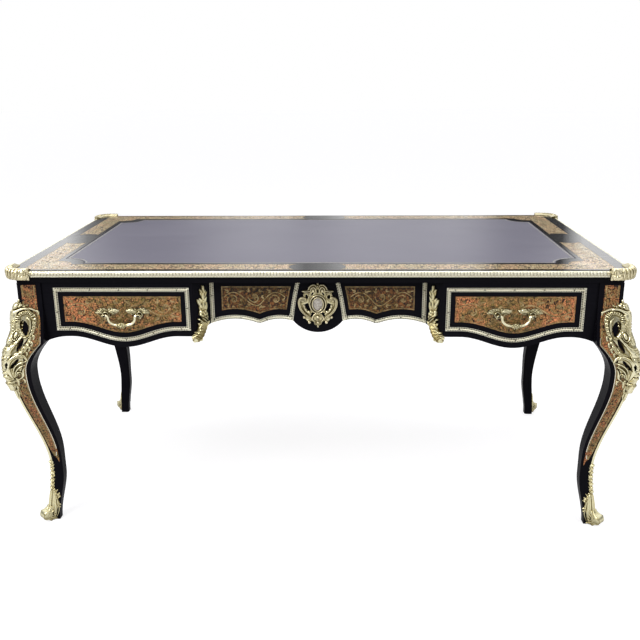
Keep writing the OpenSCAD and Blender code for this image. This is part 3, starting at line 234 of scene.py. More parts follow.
def hide(name):
    """Polished skiver: mauve grey leather with a fine grain, faint streaks and softer patches."""
    p = Paint(name)
    streak = p.scaled(p.noise(170.0, 3.0, 0.6, p.stretched((0.02, 1.0, 1.0))), 0.5,
                      p.scaled(p.noise(30.0, 4.0, 0.6, p.stretched((0.10, 1.0, 1.0))), 0.5))
    creases = p.bump(p.noise(520.0, 4.0, 0.7), 0.00009, 0.5, p.bump(streak, 0.0003, 0.3))
    return p.surface(Base_Color=p.blend(p.scaled(streak, 0.7, p.scaled(p.noise(5.0, 3.0), 0.3)),
                                        (0.052, 0.048, 0.082), (0.165, 0.158, 0.200)),
                     Roughness=p.scaled(streak, 0.16, 0.27), Specular_IOR_Level=0.62, Coat_Weight=0.12,
                     Coat_Roughness=0.25, Normal=p.bump(p.cells(1500.0, "F1"), 0.00006, 0.5, creases))


def oak(name, stretch):
    """Waxed drawer oak: rings, flecks and open pores."""
    p = Paint(name)
    along = p.stretched(stretch)
    rings = p.noise(42.0, 4.0, 0.6, along, 0.8)
    pores = p.noise(900.0, 2.0, 0.5, along)
    colour = p.ramp(rings, (0.30, (0.19, 0.105, 0.048)), (0.50, (0.34, 0.21, 0.105)), (0.68, (0.43, 0.285, 0.155)))
    return p.surface(Base_Color=p.blend(p.ramp(pores, (0.60, 0.0), (0.70, 0.7)), colour, (0.10, 0.052, 0.022)),
                     Roughness=p.scaled(rings, 0.2, 0.42), Specular_IOR_Level=0.4, Coat_Weight=0.15,
                     Coat_Roughness=0.3, Normal=p.bump(pores, 0.00015, 0.6))


def pale_stone(name):
    """The cabochon: polished grey beige stone with cloudy veins."""
    p = Paint(name)
    veins = p.noise(120.0, 6.0, 0.7, distortion=1.2)
    colour = p.ramp(veins, (0.32, (0.20, 0.18, 0.15)), (0.50, (0.42, 0.38, 0.32)), (0.66, (0.62, 0.58, 0.50)))
    return p.surface(Base_Color=colour, Roughness=p.scaled(veins, 0.2, 0.12), Coat_Weight=1.0, Coat_Roughness=0.03,
                     Subsurface_Weight=0.1, Subsurface_Radius=(0.004, 0.003, 0.002))


def dress(material, *names):
    """Gives that material to the CAD nodes whose names start so."""
    for node_name, node in nodes.items():
        if node_name.startswith(names):
            node.data.materials.clear()
            node.data.materials.append(material)


ACROSS, UPRIGHT, DEEP = (0.04, 1.0, 1.0), (1.0, 1.0, 0.05), (1.0, 0.05, 1.0)
DARK = (0.016, 0.010, 0.007)
RED, OLIVE = (0.76, 0.25, 0.105), (0.215, 0.155, 0.040)
CASE = ebonised("ebonised_case", ACROSS, 0.08)
IRON = ebonised("screw_iron", ACROSS, 0.3)
CUT = cut_brass("cut_brass")
BRONZE = gilded("gilt_bronze", 560.0, 0.007, (0.17, 0.125, 0.036), (0.70, 0.60, 0.29), (1.0, 0.94, 0.64), 0.24)
BAND = gilded("pale_gilt_bronze", 420.0, 0.0025, (0.32, 0.26, 0.12), (0.90, 0.84, 0.60), (1.0, 0.98, 0.80), 0.30)
# painted light: a lighter copy of the gilt bronze for the sabots and leaf mounts, standing in for light they don't get
PAINTED_LIGHT_BRONZE = gilded("gilt_bronze_painted_lighter", 560.0, 0.007, (0.26, 0.19, 0.055), (0.96, 0.81, 0.39),
                       (1.0, 0.95, 0.62), 0.29)
OLD_BRONZE = gilded("olive_bronze", 520.0, 0.008, (0.12, 0.090, 0.032), (0.50, 0.42, 0.20), (0.96, 0.87, 0.58), 0.26)

dress(ebonised("lacquered_top", ACROSS, 0.10, 1.0), "top_panel")
dress(CASE, "side_apron", "back_apron", "front_rails", "partition", "drawer_front")
dress(ebonised("ebonised_leg", UPRIGHT, 0.08), "leg_front", "leg_back")
dress(hide("leather"), "leather_panel")
dress(marquetry("marquetry_top", (0.74, 0.44, 0.25), (0.60, 0.50, 0.27), 120.0, 0.06, coat=0.9), "top_inlays")
dress(marquetry("marquetry_left_drawer", RED, OLIVE, 130.0, 0.05, -0.50), "drawer_inlay_left")
dress(marquetry("marquetry_right_drawer", RED, OLIVE, 135.0, 0.04, 0.53), "drawer_inlay_right")
dress(marquetry("marquetry_centre_drawer", (0.235, 0.088, 0.028), (0.088, 0.058, 0.012), 120.0, 0.07),
      "drawer_inlay_centre")
dress(marquetry("marquetry_legs", (0.46, 0.165, 0.070), (0.25, 0.180, 0.055), 130.0, 0.06),
      "leg_inlays", "apron_inlays")
dress(oak("oak_sides", DEEP), "drawer_box", "drawer_runners", "drawer_kickers")
dress(oak("oak_across", ACROSS), "drawer_bottom", "drawer_stops")
dress(pale_stone("pale_stone"), "cabochon")
dress(OLD_BRONZE, "top_corner")
dress(PAINTED_LIGHT_BRONZE, "sabot", "leaf_mount")
dress(BRONZE, "knee_mount", "handle", "cartouche", "back_cartouche", "back_leaf_mounts", "arris_fillets")
dress(BAND, "edge_mouldings", "drawer_frame", "apron_frames")


# Shapes: a form is a pair of points and quads in millimetres, a along, b across and h out of what it lies on

def lattice(points):
    rows, columns = points.shape[:2]
    k = np.arange(rows * columns).reshape(rows, columns)
    quads = np.stack([k[:-1, :-1], k[1:, :-1], k[1:, 1:], k[:-1, 1:]], -1).reshape(-1, 4)
    return points.reshape(-1, 3), quads


def join(*forms):
    starts = np.cumsum([0] + [len(points) for points, _ in forms])
    return (np.concatenate([points for points, _ in forms]),
            np.concatenate([quads + start for (_, quads), start in zip(forms, starts)]))


def swapped(form):
    """The form with a and b exchanged."""
    return form[0][:, [1, 0, 2]], form[1][:, ::-1]


def move(form, at=(0.0, 0.0), turn=0.0, size=1.0, mirror=False, lift=0.0):
    points, quads = form[0] * size, form[1]
    if mirror:
        points, quads = points * (-1, 1, 1), quads[:, ::-1]
    c, s = math.cos(math.radians(turn)), math.sin(math.radians(turn))
    return np.column_stack([points[:, :2] @ np.array([[c, s], [-s, c]]) + at, points[:, 2] + lift]), quads


def both(form):
    """The form and its mirror image on the other side of a = 0."""
    return join(form, move(form, mirror=True))


def spline(points, n=24):
    """A smooth line of n points through the given ones."""
    p = np.asarray(points, float)
    p = np.vstack([2 * p[0] - p[1], p, 2 * p[-1] - p[-2]])
    t = np.linspace(0, len(p) - 3 - 1e-9, n)
    k, f = t.astype(int), (t % 1)[:, None]
    a, b, c, d = p[k], p[k + 1], p[k + 2], p[k + 3]
    return 0.5 * (2 * b + (c - a) * f + (2 * a - 5 * b + 4 * c - d) * f**2 + (3 * b - a - 3 * c + d) * f**3)


def bow(centre, rx, ry, start, end, n=20):
    a = np.radians(np.linspace(start, end, n))
    return np.column_stack([centre[0] + rx * np.cos(a), centre[1] + ry * np.sin(a)])


def spiral(centre, r0, r1, start, turns, n=28):
    t = np.linspace(0, 1, n)
    a, r = math.radians(start) + 2 * math.pi * turns * t, r0 * (r1 / r0) ** t
    return np.column_stack([centre[0] + r * np.cos(a), centre[1] + r * np.sin(a)])


def run_of(line):
    """The length run along a line up to each of its points."""
    return np.concatenate([[0], np.cumsum(np.linalg.norm(np.diff(line, axis=0), axis=1))])


def same(size):
    """A width that stays the same."""
    return lambda t: size + 0 * t


def bud(size, early=1.0, foot=0.05):
    """A width that swells and closes again; below 1 early puts its fullest part nearer the start."""
    return lambda t: size * (foot + (1 - foot) * np.sin(np.pi * np.clip(t, 0, 1) ** early) ** 0.8)


def fade(size, end=0.2, foot=0.5):
    """A width that starts narrow, fills at once and then tapers."""
    return lambda t: size * (foot + (1 - foot) * np.clip(t / 0.15, 0, 1)) * (1 - (1 - end) * t)


def normals_of(line):
    along = np.gradient(line, axis=0)
    along /= np.maximum(np.linalg.norm(along, axis=1, keepdims=True), 1e-9)
    return along, np.column_stack([-along[:, 1], along[:, 0]])


def blade(line, half, rise, columns=6, crown=0.5, lobes=0, bite=0.35, lean=0.7, groove=0.0, sunk=0.5, flutes=0):
    """A raised leaf, rib or scroll along a line, with lobes in its edges and a groove or flutes along it."""
    t = np.linspace(0, 1, len(line))
    along, side = normals_of(line)
    u = np.linspace(-1, 1, columns + 1)[None, :]
    width, vein = half(t)[:, None], 0.0
    if lobes:
        wave = np.abs(np.sin(np.pi * lobes * t))[:, None] ** 0.7
        width = width * (1 - bite * (1 - wave))
        vein = 0.45 * (1 - wave)
    plan = line[:, None, :] + side[:, None, :] * (u * width)[..., None]
    if lobes:
        plan = plan + along[:, None, :] * (lean * np.abs(u) ** 1.5 * width)[..., None]
    height = rise(t)[:, None] * (1 - np.abs(u) ** 2.2) ** crown
    height = height * (1 - groove * np.exp(-(u / 0.22) ** 2)) * (1 - vein * np.abs(u))
    height = height * (1 - 0.3 * np.sin(np.pi * flutes * u) ** 2)
    height = np.where(np.abs(u) > 0.999, -sunk, height)
    return lattice(np.concatenate([plan, height[..., None]], -1))


def sweep(points, n, half, rise, columns=6, **more):
    """A blade of n steps through a few points, with the numbers of its width's and its height's bud."""
    return blade(spline(points, n), bud(*half), bud(*rise), columns, **more)


def leaves(n, foot, rows, **more):
    """Lobed leaves from rows of a line, a half width, a rise and a number of lobes."""
    return [sweep(line, n, (half, 0.8, foot), (rise, 0.8, 0.4), lobes=lobes, **more)
            for line, half, rise, lobes in rows]


def ring(at, rx, ry, n, half, rise, columns=6):
    return blade(bow(at, rx, ry, 0, 360, n), same(half), same(rise), columns)


def dome(at, rx, ry, rise, rings=4, spokes=12, sunk=0.3):
    r = np.sin(np.linspace(0.02, 1, rings + 1) * np.pi / 2)[:, None]
    a = np.linspace(0, 2 * np.pi, spokes + 1)[None, :]
    height = rise * np.sqrt(np.maximum(1 - r**2, 0)) - sunk * (r > 0.999)
    return lattice(np.stack([at[0] + rx * r * np.cos(a), at[1] + ry * r * np.sin(a), height + 0 * a], -1))


def backed(form, depth):
    """The form closed by a flat back at that depth."""
    return join(form, (form[0] * (1, 1, 0) - (0, 0, depth), form[1][:, ::-1]))


def flat_strip(left, right, rise=0.12):
    """A flat strip between two lines, such as sawn brass, whose sides go just below the ground."""
    points = [np.column_stack([line, np.full(len(line), h)])
              for line, h in ((left, -0.1), (left, rise), (right, rise), (right, -0.1))]
    return np.stack(points, 1)


def strip(line, half, rise=0.12):
    line = np.asarray(line, float)
    side = normals_of(line)[1]
    width = half(np.linspace(0, 1, len(line)))[:, None] if callable(half) else half
    return lattice(flat_strip(line - side * width, line + side * width, rise))


def inset(loop, d):
    """A closed line, drawn anticlockwise, moved inward."""
    before, after = loop - np.roll(loop, 1, 0), np.roll(loop, -1, 0) - loop
    n1, n2 = (np.column_stack([-v[:, 1], v[:, 0]]) / np.maximum(np.linalg.norm(v, axis=1, keepdims=True), 1e-9)
              for v in (before, after))
    return loop + d * (n1 + n2) / np.maximum(1 + (n1 * n2).sum(1, keepdims=True), 0.35)


def band(loop, d0, d1):
    """A flat strip inside a closed outline, between two distances from it."""
    points = flat_strip(inset(loop, d0), inset(loop, d1))
    return lattice(np.concatenate([points, points[:1]]))


def repeat(form, line, pitch, ends=0.5):
    """Copies of a form, drawn along a, at even steps on a line and turned with it."""
    run = run_of(line)
    n = max(1, round(run[-1] / pitch))
    copies = []
    for k in range(n):
        at = run[-1] * (k + ends) / n
        i = min(np.searchsorted(run, at, side="right"), len(line) - 1)
        step = line[i] - line[i - 1]
        place = line[i - 1] + step * (at - run[i - 1]) / max(run[i] - run[i - 1], 1e-9)
        copies.append(move(form, place, math.degrees(math.atan2(step[1], step[0]))))
    return join(*copies)


def stand(name, data):
    """A new object in the scene."""
    thing = bpy.data.objects.new(name, data)
    bpy.context.scene.collection.objects.link(thing)
    return thing


class Piece:
    """Gathers forms laid on surfaces and makes them one object."""

    def __init__(self):
        self.forms = []

    def lay(self, surface, *forms):
        points, quads = join(*forms)
        middle = (points.min(0) + points.max(0)) / 2
        probe = surface(middle + 0.3 * np.array([[0, 0, 0], [1, 0, 0], [0, 1, 0], [0, 0, 1.0]]))
        if np.linalg.det(probe[1:] - probe[0]) < 0:
            quads = quads[:, ::-1]
        self.forms.append((surface(points), quads))
        return self

    def make(self, name, material, body="desk", slot="gilt_bronze", smooth=True):
        points, quads = join(*self.forms)
        mesh = bpy.data.meshes.new(name)
        mesh.from_pydata(np.clip(points * MM, BOX_LOW, BOX_HIGH).tolist(), [], quads.tolist())
        mesh.polygons.foreach_set("use_smooth", [smooth] * len(mesh.polygons))
        mesh.materials.append(material)
        piece = stand(name, mesh)
        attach(piece, body)


def flat(origin, along, up, out):
    m = np.array([along, up, out], float)
    return lambda p: p @ m + origin


def front_at(y):
    """A plane that faces the sitter, with a as X and b as Z."""
    return flat((0, y, 0), (1, 0, 0), (0, 0, 1), (0, -1, 0))


def back_at(y):
    """The same on the table's other side."""
    return flat((0, y, 0), (1, 0, 0), (0, 0, 1), (0, 1, 0))


def side_at(sx, x):
    """A plane that faces sideways, with a as Y and b as Z."""
    return flat((sx * x, 0, 0), (0, 1, 0), (0, 0, 1), (sx, 0, 0))


def top_at(z):
    return flat((0, 0, z), (1, 0, 0), (0, 1, 0), (0, 0, 1))


def draped(surface, *names, reach=50.0):
    """The same surface laid over CAD nodes, so that h counts from their outer side."""
    points, faces = [], []
    for name in names:
        mesh = nodes[name].data
        faces += [[i + len(points) for i in polygon.vertices] for polygon in mesh.polygons]
        points += [v.co / MM for v in mesh.vertices]
    tree = BVHTree.FromPolygons(points, faces)

    def over(p):
        ground = surface(p * (1, 1, 0))
        out = surface(p * (1, 1, 0) + (0, 0, 1)) - ground
        out /= np.linalg.norm(out, axis=1, keepdims=True)
        found = []
        for g, o in zip(ground, out):
            hit = tree.ray_cast(Vector(g + reach * o), Vector(-o), reach + 5)[0]
            found.append(g if hit is None else np.array(hit))
        return np.array(found) + out * p[:, 2:]
    return over


def loops_of(name, axis, level):
    """Outlines of a CAD node's faces at that level of an axis, in the two other axes, anticlockwise."""
    mesh = nodes[name].data
    places = np.array([v.co for v in mesh.vertices]) / MM
    on = np.abs(places[:, axis] - level) < 0.05
    key = [tuple(place) for place in np.round(np.delete(places, axis, 1), 2)]
    edges = {}
    for polygon in mesh.polygons:
        ids = list(polygon.vertices)
        if on[ids].all():
            corners = [key[i] for i in ids]
            edges.update({(one, two): True for one, two in zip(corners, corners[1:] + corners[:1]) if one != two})
    after = {}
    for one, two in edges:
        if (two, one) not in edges:
            after.setdefault(one, []).append(two)
    loops = []
    while after:
        start = at = next(iter(after))
        loop = []
        while at in after:
            loop.append(at)
            follow = after[at].pop()
            if not after[at]:
                del after[at]
            at = follow
            if at == start:
                break
        loop = np.array(loop)
        area = 0.5 * np.sum(loop[:, 0] * np.roll(loop[:, 1], -1) - np.roll(loop[:, 0], -1) * loop[:, 1])
        if abs(area) > 50:
            loops.append(loop if area > 0 else loop[::-1])
    return loops


def outsides(loops):
    """The outlines that lie inside no other."""
    def holds(big, small):
        return (big.min(0) < small.min(0)).all() and (big.max(0) > small.max(0)).all()
    return [l for l in loops if not any(holds(other, l) for other in loops if other is not l)]


def panels(kind, out):
    """Panels of one kind on each drawer and on the case: a name, the body, and node, surface, axis and outline."""
    for side in ("left", "centre", "right"):
        node, y = f"drawer_{kind}_{side}", (CENTRE_Y if side == "centre" else CASE_Y) + out
        yield side, "drawer_" + side, [(node, front_at(-y), 1, loop) for loop in outsides(loops_of(node, 1, -y))]
    node, x, y = f"apron_{kind}s", CASE_X + out, CASE_Y + out
    faces = [(side_at(-1, x), 0, -x), (side_at(1, x), 0, x), (back_at(y), 1, y)]
    yield "aprons", "desk", [(node, surface, axis, loop) for surface, axis, level in faces
                             for loop in outsides(loops_of(node, axis, level))]


# Legs: their curves, in millimetres

def ease(t):
    t = np.clip(t, 0, 1)
    return t * t * (3 - 2 * t)


def arris(z):
    """How far the leg's outer edge stands out of its block."""
    return np.where(z >= 504, 34 * (1 - ease((z - 504) / 195)),
                    np.where(z >= 165, -28 + 62 * ease((z - 165) / 339), -28 + 15 * ease(1 - z / 165)))


def heel(z):
    """The same for its inner edge."""
    return np.select([z >= 575, z >= 491, z >= 214.5, z >= 148.5],
                     [-66 + 0 * z, -24 - 42 * ((z - 491) / 84) ** 2, -61 + 37 * ease((z - 214.5) / 264.5), -61 + 0 * z],
                     -61 + 20 * ease(1 - z / 148.5))


def leg_face(sx, sy, front, out):
    """One outer face of a leg: a counts from its arris, b is the height."""
    def place(p):
        edge = arris(p[:, 1])
        depth, away = edge + out + p[:, 2], edge - p[:, 0]
        x, y = (away, depth) if front else (depth, away)
        return np.column_stack([sx * (BLOCK_X + x), sy * (BLOCK_Y + y), p[:, 1]])
    return place


def leg_wrap(sx, sy, soft=1.5):
    """Both outer faces round the arris: a counts from it to either side."""
    def place(p):
        a, z, h = p.T
        edge, root = arris(z), np.sqrt(a**2 + 4 * soft**2)
        nx, ny = (1 - a / root) / 2, (1 + a / root) / 2
        h = h / np.hypot(nx, ny)
        return np.column_stack([sx * (BLOCK_X + edge - (root + a) / 2 + h * nx),
                                sy * (BLOCK_Y + edge - (root - a) / 2 + h * ny), z])
    return place


# Marquetry: brass scrolls and lines let into the sheets

def rosette(size):
    petal = strip(spline([(0.25 * size, 0), (0.65 * size, 0), (size, 0)], 5), bud(0.30 * size, 0.8, 0.1))
    heart = strip(spline([(-0.16 * size, 0), (0, 0), (0.16 * size, 0)], 3), 0.16 * size)
    return join(*[move(petal, turn=72 * k) for k in range(5)], heart)


def sprig(length, bend, width):
    """A small curved leaf with a side leaf on each flank."""
    stem = spline([(0, 0), (0.5 * length, 0.35 * bend), (length, bend)], 9)
    wing = spline([(0, 0), (0.25 * length, 0.22 * length), (0.5 * length, 0.24 * length)], 6)
    return join(*[strip(line, bud(size * width, 0.8, 0.12))
                  for line, size in ((stem, 1), (wing, 0.7), (wing * (1, -1), 0.7))])


def rinceau(length, height, pitch):
    """A scrolling stem in a strip from 0 to its length and height, with a spiral and leaves in each bend."""
    n = max(2, round(length / pitch))
    pitch = length / n
    middle, w = height / 2, 0.016 * height + 0.35
    stem = np.linspace(0.02, 0.98, 14 * n)
    forms = [strip(np.column_stack([stem * length, middle + 0.27 * height * np.sin(np.pi * stem * n)]), w)]
    for k in range(n):
        sign = -1 if k % 2 else 1
        c = ((k + 0.5) * pitch, middle - sign * 0.10 * height)
        r = min(0.38 * pitch, 0.33 * height) * chance.uniform(0.93, 1.05)
        forms.append(strip(spiral(c, r, 0.13 * r, sign * 190, sign * -1.55, 26), fade(1.15 * w, 0.6)))
        forms.append(move(rosette(0.34 * r), c, chance.uniform(0, 72)))
        for turn, size in ((215, 0.30), (262, 0.24), (308, 0.24), (352, 0.24)):
            leaf = sprig(size * height, sign * 0.10 * height, 1.5 * w)
            forms.append(move(leaf, bow(c, r, r, sign * turn, sign * turn, 1), sign * (turn + 38), 0.85))
        for away, size, turn in ((0.21, 0.30, 20), (-0.21, 0.26, 160)):
            leaf = sprig(size * height, sign * -0.06 * height, 1.3 * w)
            forms.append(move(leaf, (c[0] + away * pitch, middle + sign * 0.30 * height), sign * turn))
    return join(*forms)


def fit(form, height, grid, low, high, start):
    """Bends a strip of that height between two edges given on a grid along a."""
    a, b, h = form[0].T
    a = a + start
    low, high = np.interp(a, grid, low), np.interp(a, grid, high)
    return np.column_stack([a, low + np.clip(b / height, 0.02, 0.98) * (high - low), h]), form[1]


def edges_of(loop):
    """A grid along an outline's first coordinate, with its lower and its upper edge there."""
    grid = np.linspace(loop[:, 0].min() + 0.01, loop[:, 0].max() - 0.01, 240)
    low, high = np.full(len(grid), np.inf), np.full(len(grid), -np.inf)
    for one, two in zip(loop, np.roll(loop, -1, 0)):
        if abs(two[0] - one[0]) > 1e-6:
            f = (grid - one[0]) / (two[0] - one[0])
            b = np.where((f >= -1e-6) & (f <= 1 + 1e-6), one[1] + f * (two[1] - one[1]), np.nan)
            low, high = np.fmin(low, b), np.fmax(high, b)
    return grid, low, high


def marquetry_panel(loop, pitch):
    """Stringing round a panel and scrolls that fill it from end to end."""
    grid, low, high = edges_of(inset(loop, 4.5))
    height = float(np.median(high - low))
    usable = grid[high - low > 0.72 * height]
    scrolls = rinceau(usable[-1] - usable[0], height, pitch)
    return join(band(loop, 1.0, 2.1), band(loop, 3.2, 3.7), fit(scrolls, height, grid, low, high, usable[0]))


def lay_marquetry():
    sheet = dict(slot="boulle_marquetry", smooth=False)
    for name, body, inlays in panels("inlay", INLAY_OUT):
        piece = Piece()
        for _, surface, axis, loop in inlays:
            piece.lay(surface, marquetry_panel(loop, 62 if name == "centre" else 76 if axis else 80))
        piece.make("marquetry_" + (name if body == "desk" else body), CUT, body, **sheet)
    piece, surface = Piece(), top_at(TOP_Z)
    for loop in loops_of("top_inlays", 2, TOP_Z):
        piece.lay(surface, band(loop, 0.8, 2.6), band(loop, 4.6, 5.2))
        sx, sy = np.sign(loop.mean(0))
        for swap, end, middle in ((False, 744, 399), (True, 421, 777)):
            form = move(rinceau(end - 84, 45, 56), (84, middle - 22.5))
            points, quads = swapped(form) if swap else form
            piece.lay(surface, (points * (sx, sy, 1), quads[:, ::-1] if sx * sy < 0 else quads))
    piece.make("marquetry_top", CUT, **sheet)
    edge, tooling, surface = Piece(), Piece(), top_at(LEATHER_Z)
    for loop in loops_of("leather_panel", 2, LEATHER_Z):
        edge.lay(surface, band(loop, 0.2, 2.4))
        tooling.lay(surface, band(loop, 6.0, 7.2), band(loop, 9.2, 9.8))
    edge.make("leather_edge", CASE, slot="ebonised_wood", smooth=False)
    tooling.make("leather_tooling", BAND, slot="leather", smooth=False)

    # The sheets on the legs, from near the outer edge to near the inner one, drawn together towards the foot
    z = np.linspace(206, 738, 90)
    wide = arris(z) - heel(z)
    near = np.maximum(0.17 * wide, 8)
    far = wide - np.where(z > 575, 8 + 6 * ease((z - 639) / 40), np.minimum(8 + 4 * ease((575 - z) / 64), 0.22 * wide))
    middle, share = (near + far) / 2, ease((z - 180) / 60)
    near, far = middle + (near - middle) * share, middle + (far - middle) * share
    borders = [strip(np.column_stack([a, z]), half)
               for a, half in ((near + 1.6, 0.5), (near + 4.2, 1.3), (far - 4.6, 1.5))]
    piece, lines = Piece(), Piece()
    for sx, sy in CORNERS.values():
        for front in (True, False):
            face = leg_face(sx, sy, front, 1.3)
            lines.lay(face, strip(np.column_stack([far - 1.2, z])[z < 598], 0.8))
            piece.lay(face, *borders, swapped(fit(rinceau(520, 26, 40), 26, z, near + 6.5, far - 7, 212)))
    piece.make("marquetry_legs", CUT, **sheet)
    lines.make("stringing_legs", BAND, **sheet)


# Bronzes

# The edge moulding's outer face from its top down, as distance from the slab's edge and height
EDGE = np.vstack([bow((3.25, 775.55), 5.85, 5.95, 85, -60, 24), [(5.5, 767.7), (5.24, 764.9)]])
EDGE_RUN = run_of(EDGE)
EDGE_SLOPE = np.gradient(EDGE, EDGE_RUN, axis=0)


def edge_run(side):
    """The edge moulding's outer face: a runs along it, b down over it from its top."""
    sign = -1 if side in ("front", "left") else 1

    def place(p):
        a, b, h = p.T
        (out, z), (dx, dz) = ([np.interp(b, EDGE_RUN, column) for column in part.T] for part in (EDGE, EDGE_SLOPE))
        out, z = out - h * dz, z + h * dx
        if side in ("front", "back"):
            return np.column_stack([a, sign * (SLAB_Y + out), z])
        return np.column_stack([sign * (SLAB_X + out), a, z])
    return place


def lay_edges():
    """Leaf and tongue chasing on the four edge mouldings, whose tips scallop the lower edge."""
    leaf = join(sweep([(0, 0.5), (0, 20)], 10, (4.0, 0.75, 0.25), (1.7, 0.8, 0.3), lobes=4, bite=0.3, lean=0.3,
                      groove=0.7, sunk=0.3),
                sweep([(4.4, 5.6), (4.4, 15.5)], 6, (1.0, 1.0, 0.3), (1.0, 1.0, 0.3), 4, sunk=0.3),
                dome((0, 2.2), 2.4, 1.6, 1.2, 2, 8))
    # painted shade: small black domes in the gaps between the leaves, where shade falls
    gap_shade_dot = dome((4.4, 3.8), 0.9, 1.1, 0.3, 1, 8, -0.02)
    piece, dark = Piece(), Piece()
    for side, half in (("front", SLAB_X), ("back", SLAB_X), ("left", SLAB_Y), ("right", SLAB_Y)):
        reach = half - 56
        n = round(2 * reach / 8.8)
        places = [(-reach + (k + 0.25) * 2 * reach / n, 0) for k in range(n)]
        piece.lay(edge_run(side), *[move(leaf, at) for at in places])
        dark.lay(edge_run(side), *[move(gap_shade_dot, at) for at in places])
    piece.make("edge_chasing", BAND)
    dark.make("edge_gap_shade", IRON)


def ends_at_top(loop, top):
    """Middle of a U shaped bead whose two ends are at the top."""
    high = loop[:, 1] > top - 0.05
    k = np.argmax(high & ~np.roll(high, -1))
    line = np.roll(loop, -k, 0)[:np.argmax(np.roll(high, -k)[1:]) + 2]
    return line + 2.2 * normals_of(line)[1]


ROPE = sweep([(-1.9, -2.1), (1.9, 2.1)], 4, (1.5, 1.0, 0.4), (0.9, 1.0, 0.5), 4, sunk=0.2)
PEARL = dome((0, 0), 1.15, 1.15, 0.9, 2, 8)
SCREW_HEAD = join(dome((0, 0), 2.2, 2.2, 1.1, 3, 12), strip([(-1.7, 0), (1.7, 0)], 0.25, 1.3))
PUNCH = join(*[dome((a, b), 1.9, 1.5, 0.3, 1, 8, -0.03) for a, b in ((-1.7, -3.7), (1.7, 3.7))])


def lay_frames():
    """Slanting leaves on each frame's bead, punched dots in a zigzag beside it and screws along its middle."""
    for name, body, frames in panels("frame", FRAME_OUT):
        piece, dark = Piece(), Piece()
        for node, surface, _, loop in frames:
            if name == "centre":
                line = ends_at_top(loop, FRAME_TOP)
            else:
                line = inset(loop, 2.2)
                line = np.vstack([line, line[:1]])
            piece.lay(surface, repeat(ROPE, line, 3.4))
            dark.lay(draped(surface, node), repeat(PUNCH, line, 6.8)).lay(surface, repeat(SCREW_HEAD, line, 82, 0.4))
        piece.make("frame_chasing_" + name, BAND, body)
        dark.make("frame_screws_" + name, IRON, body)


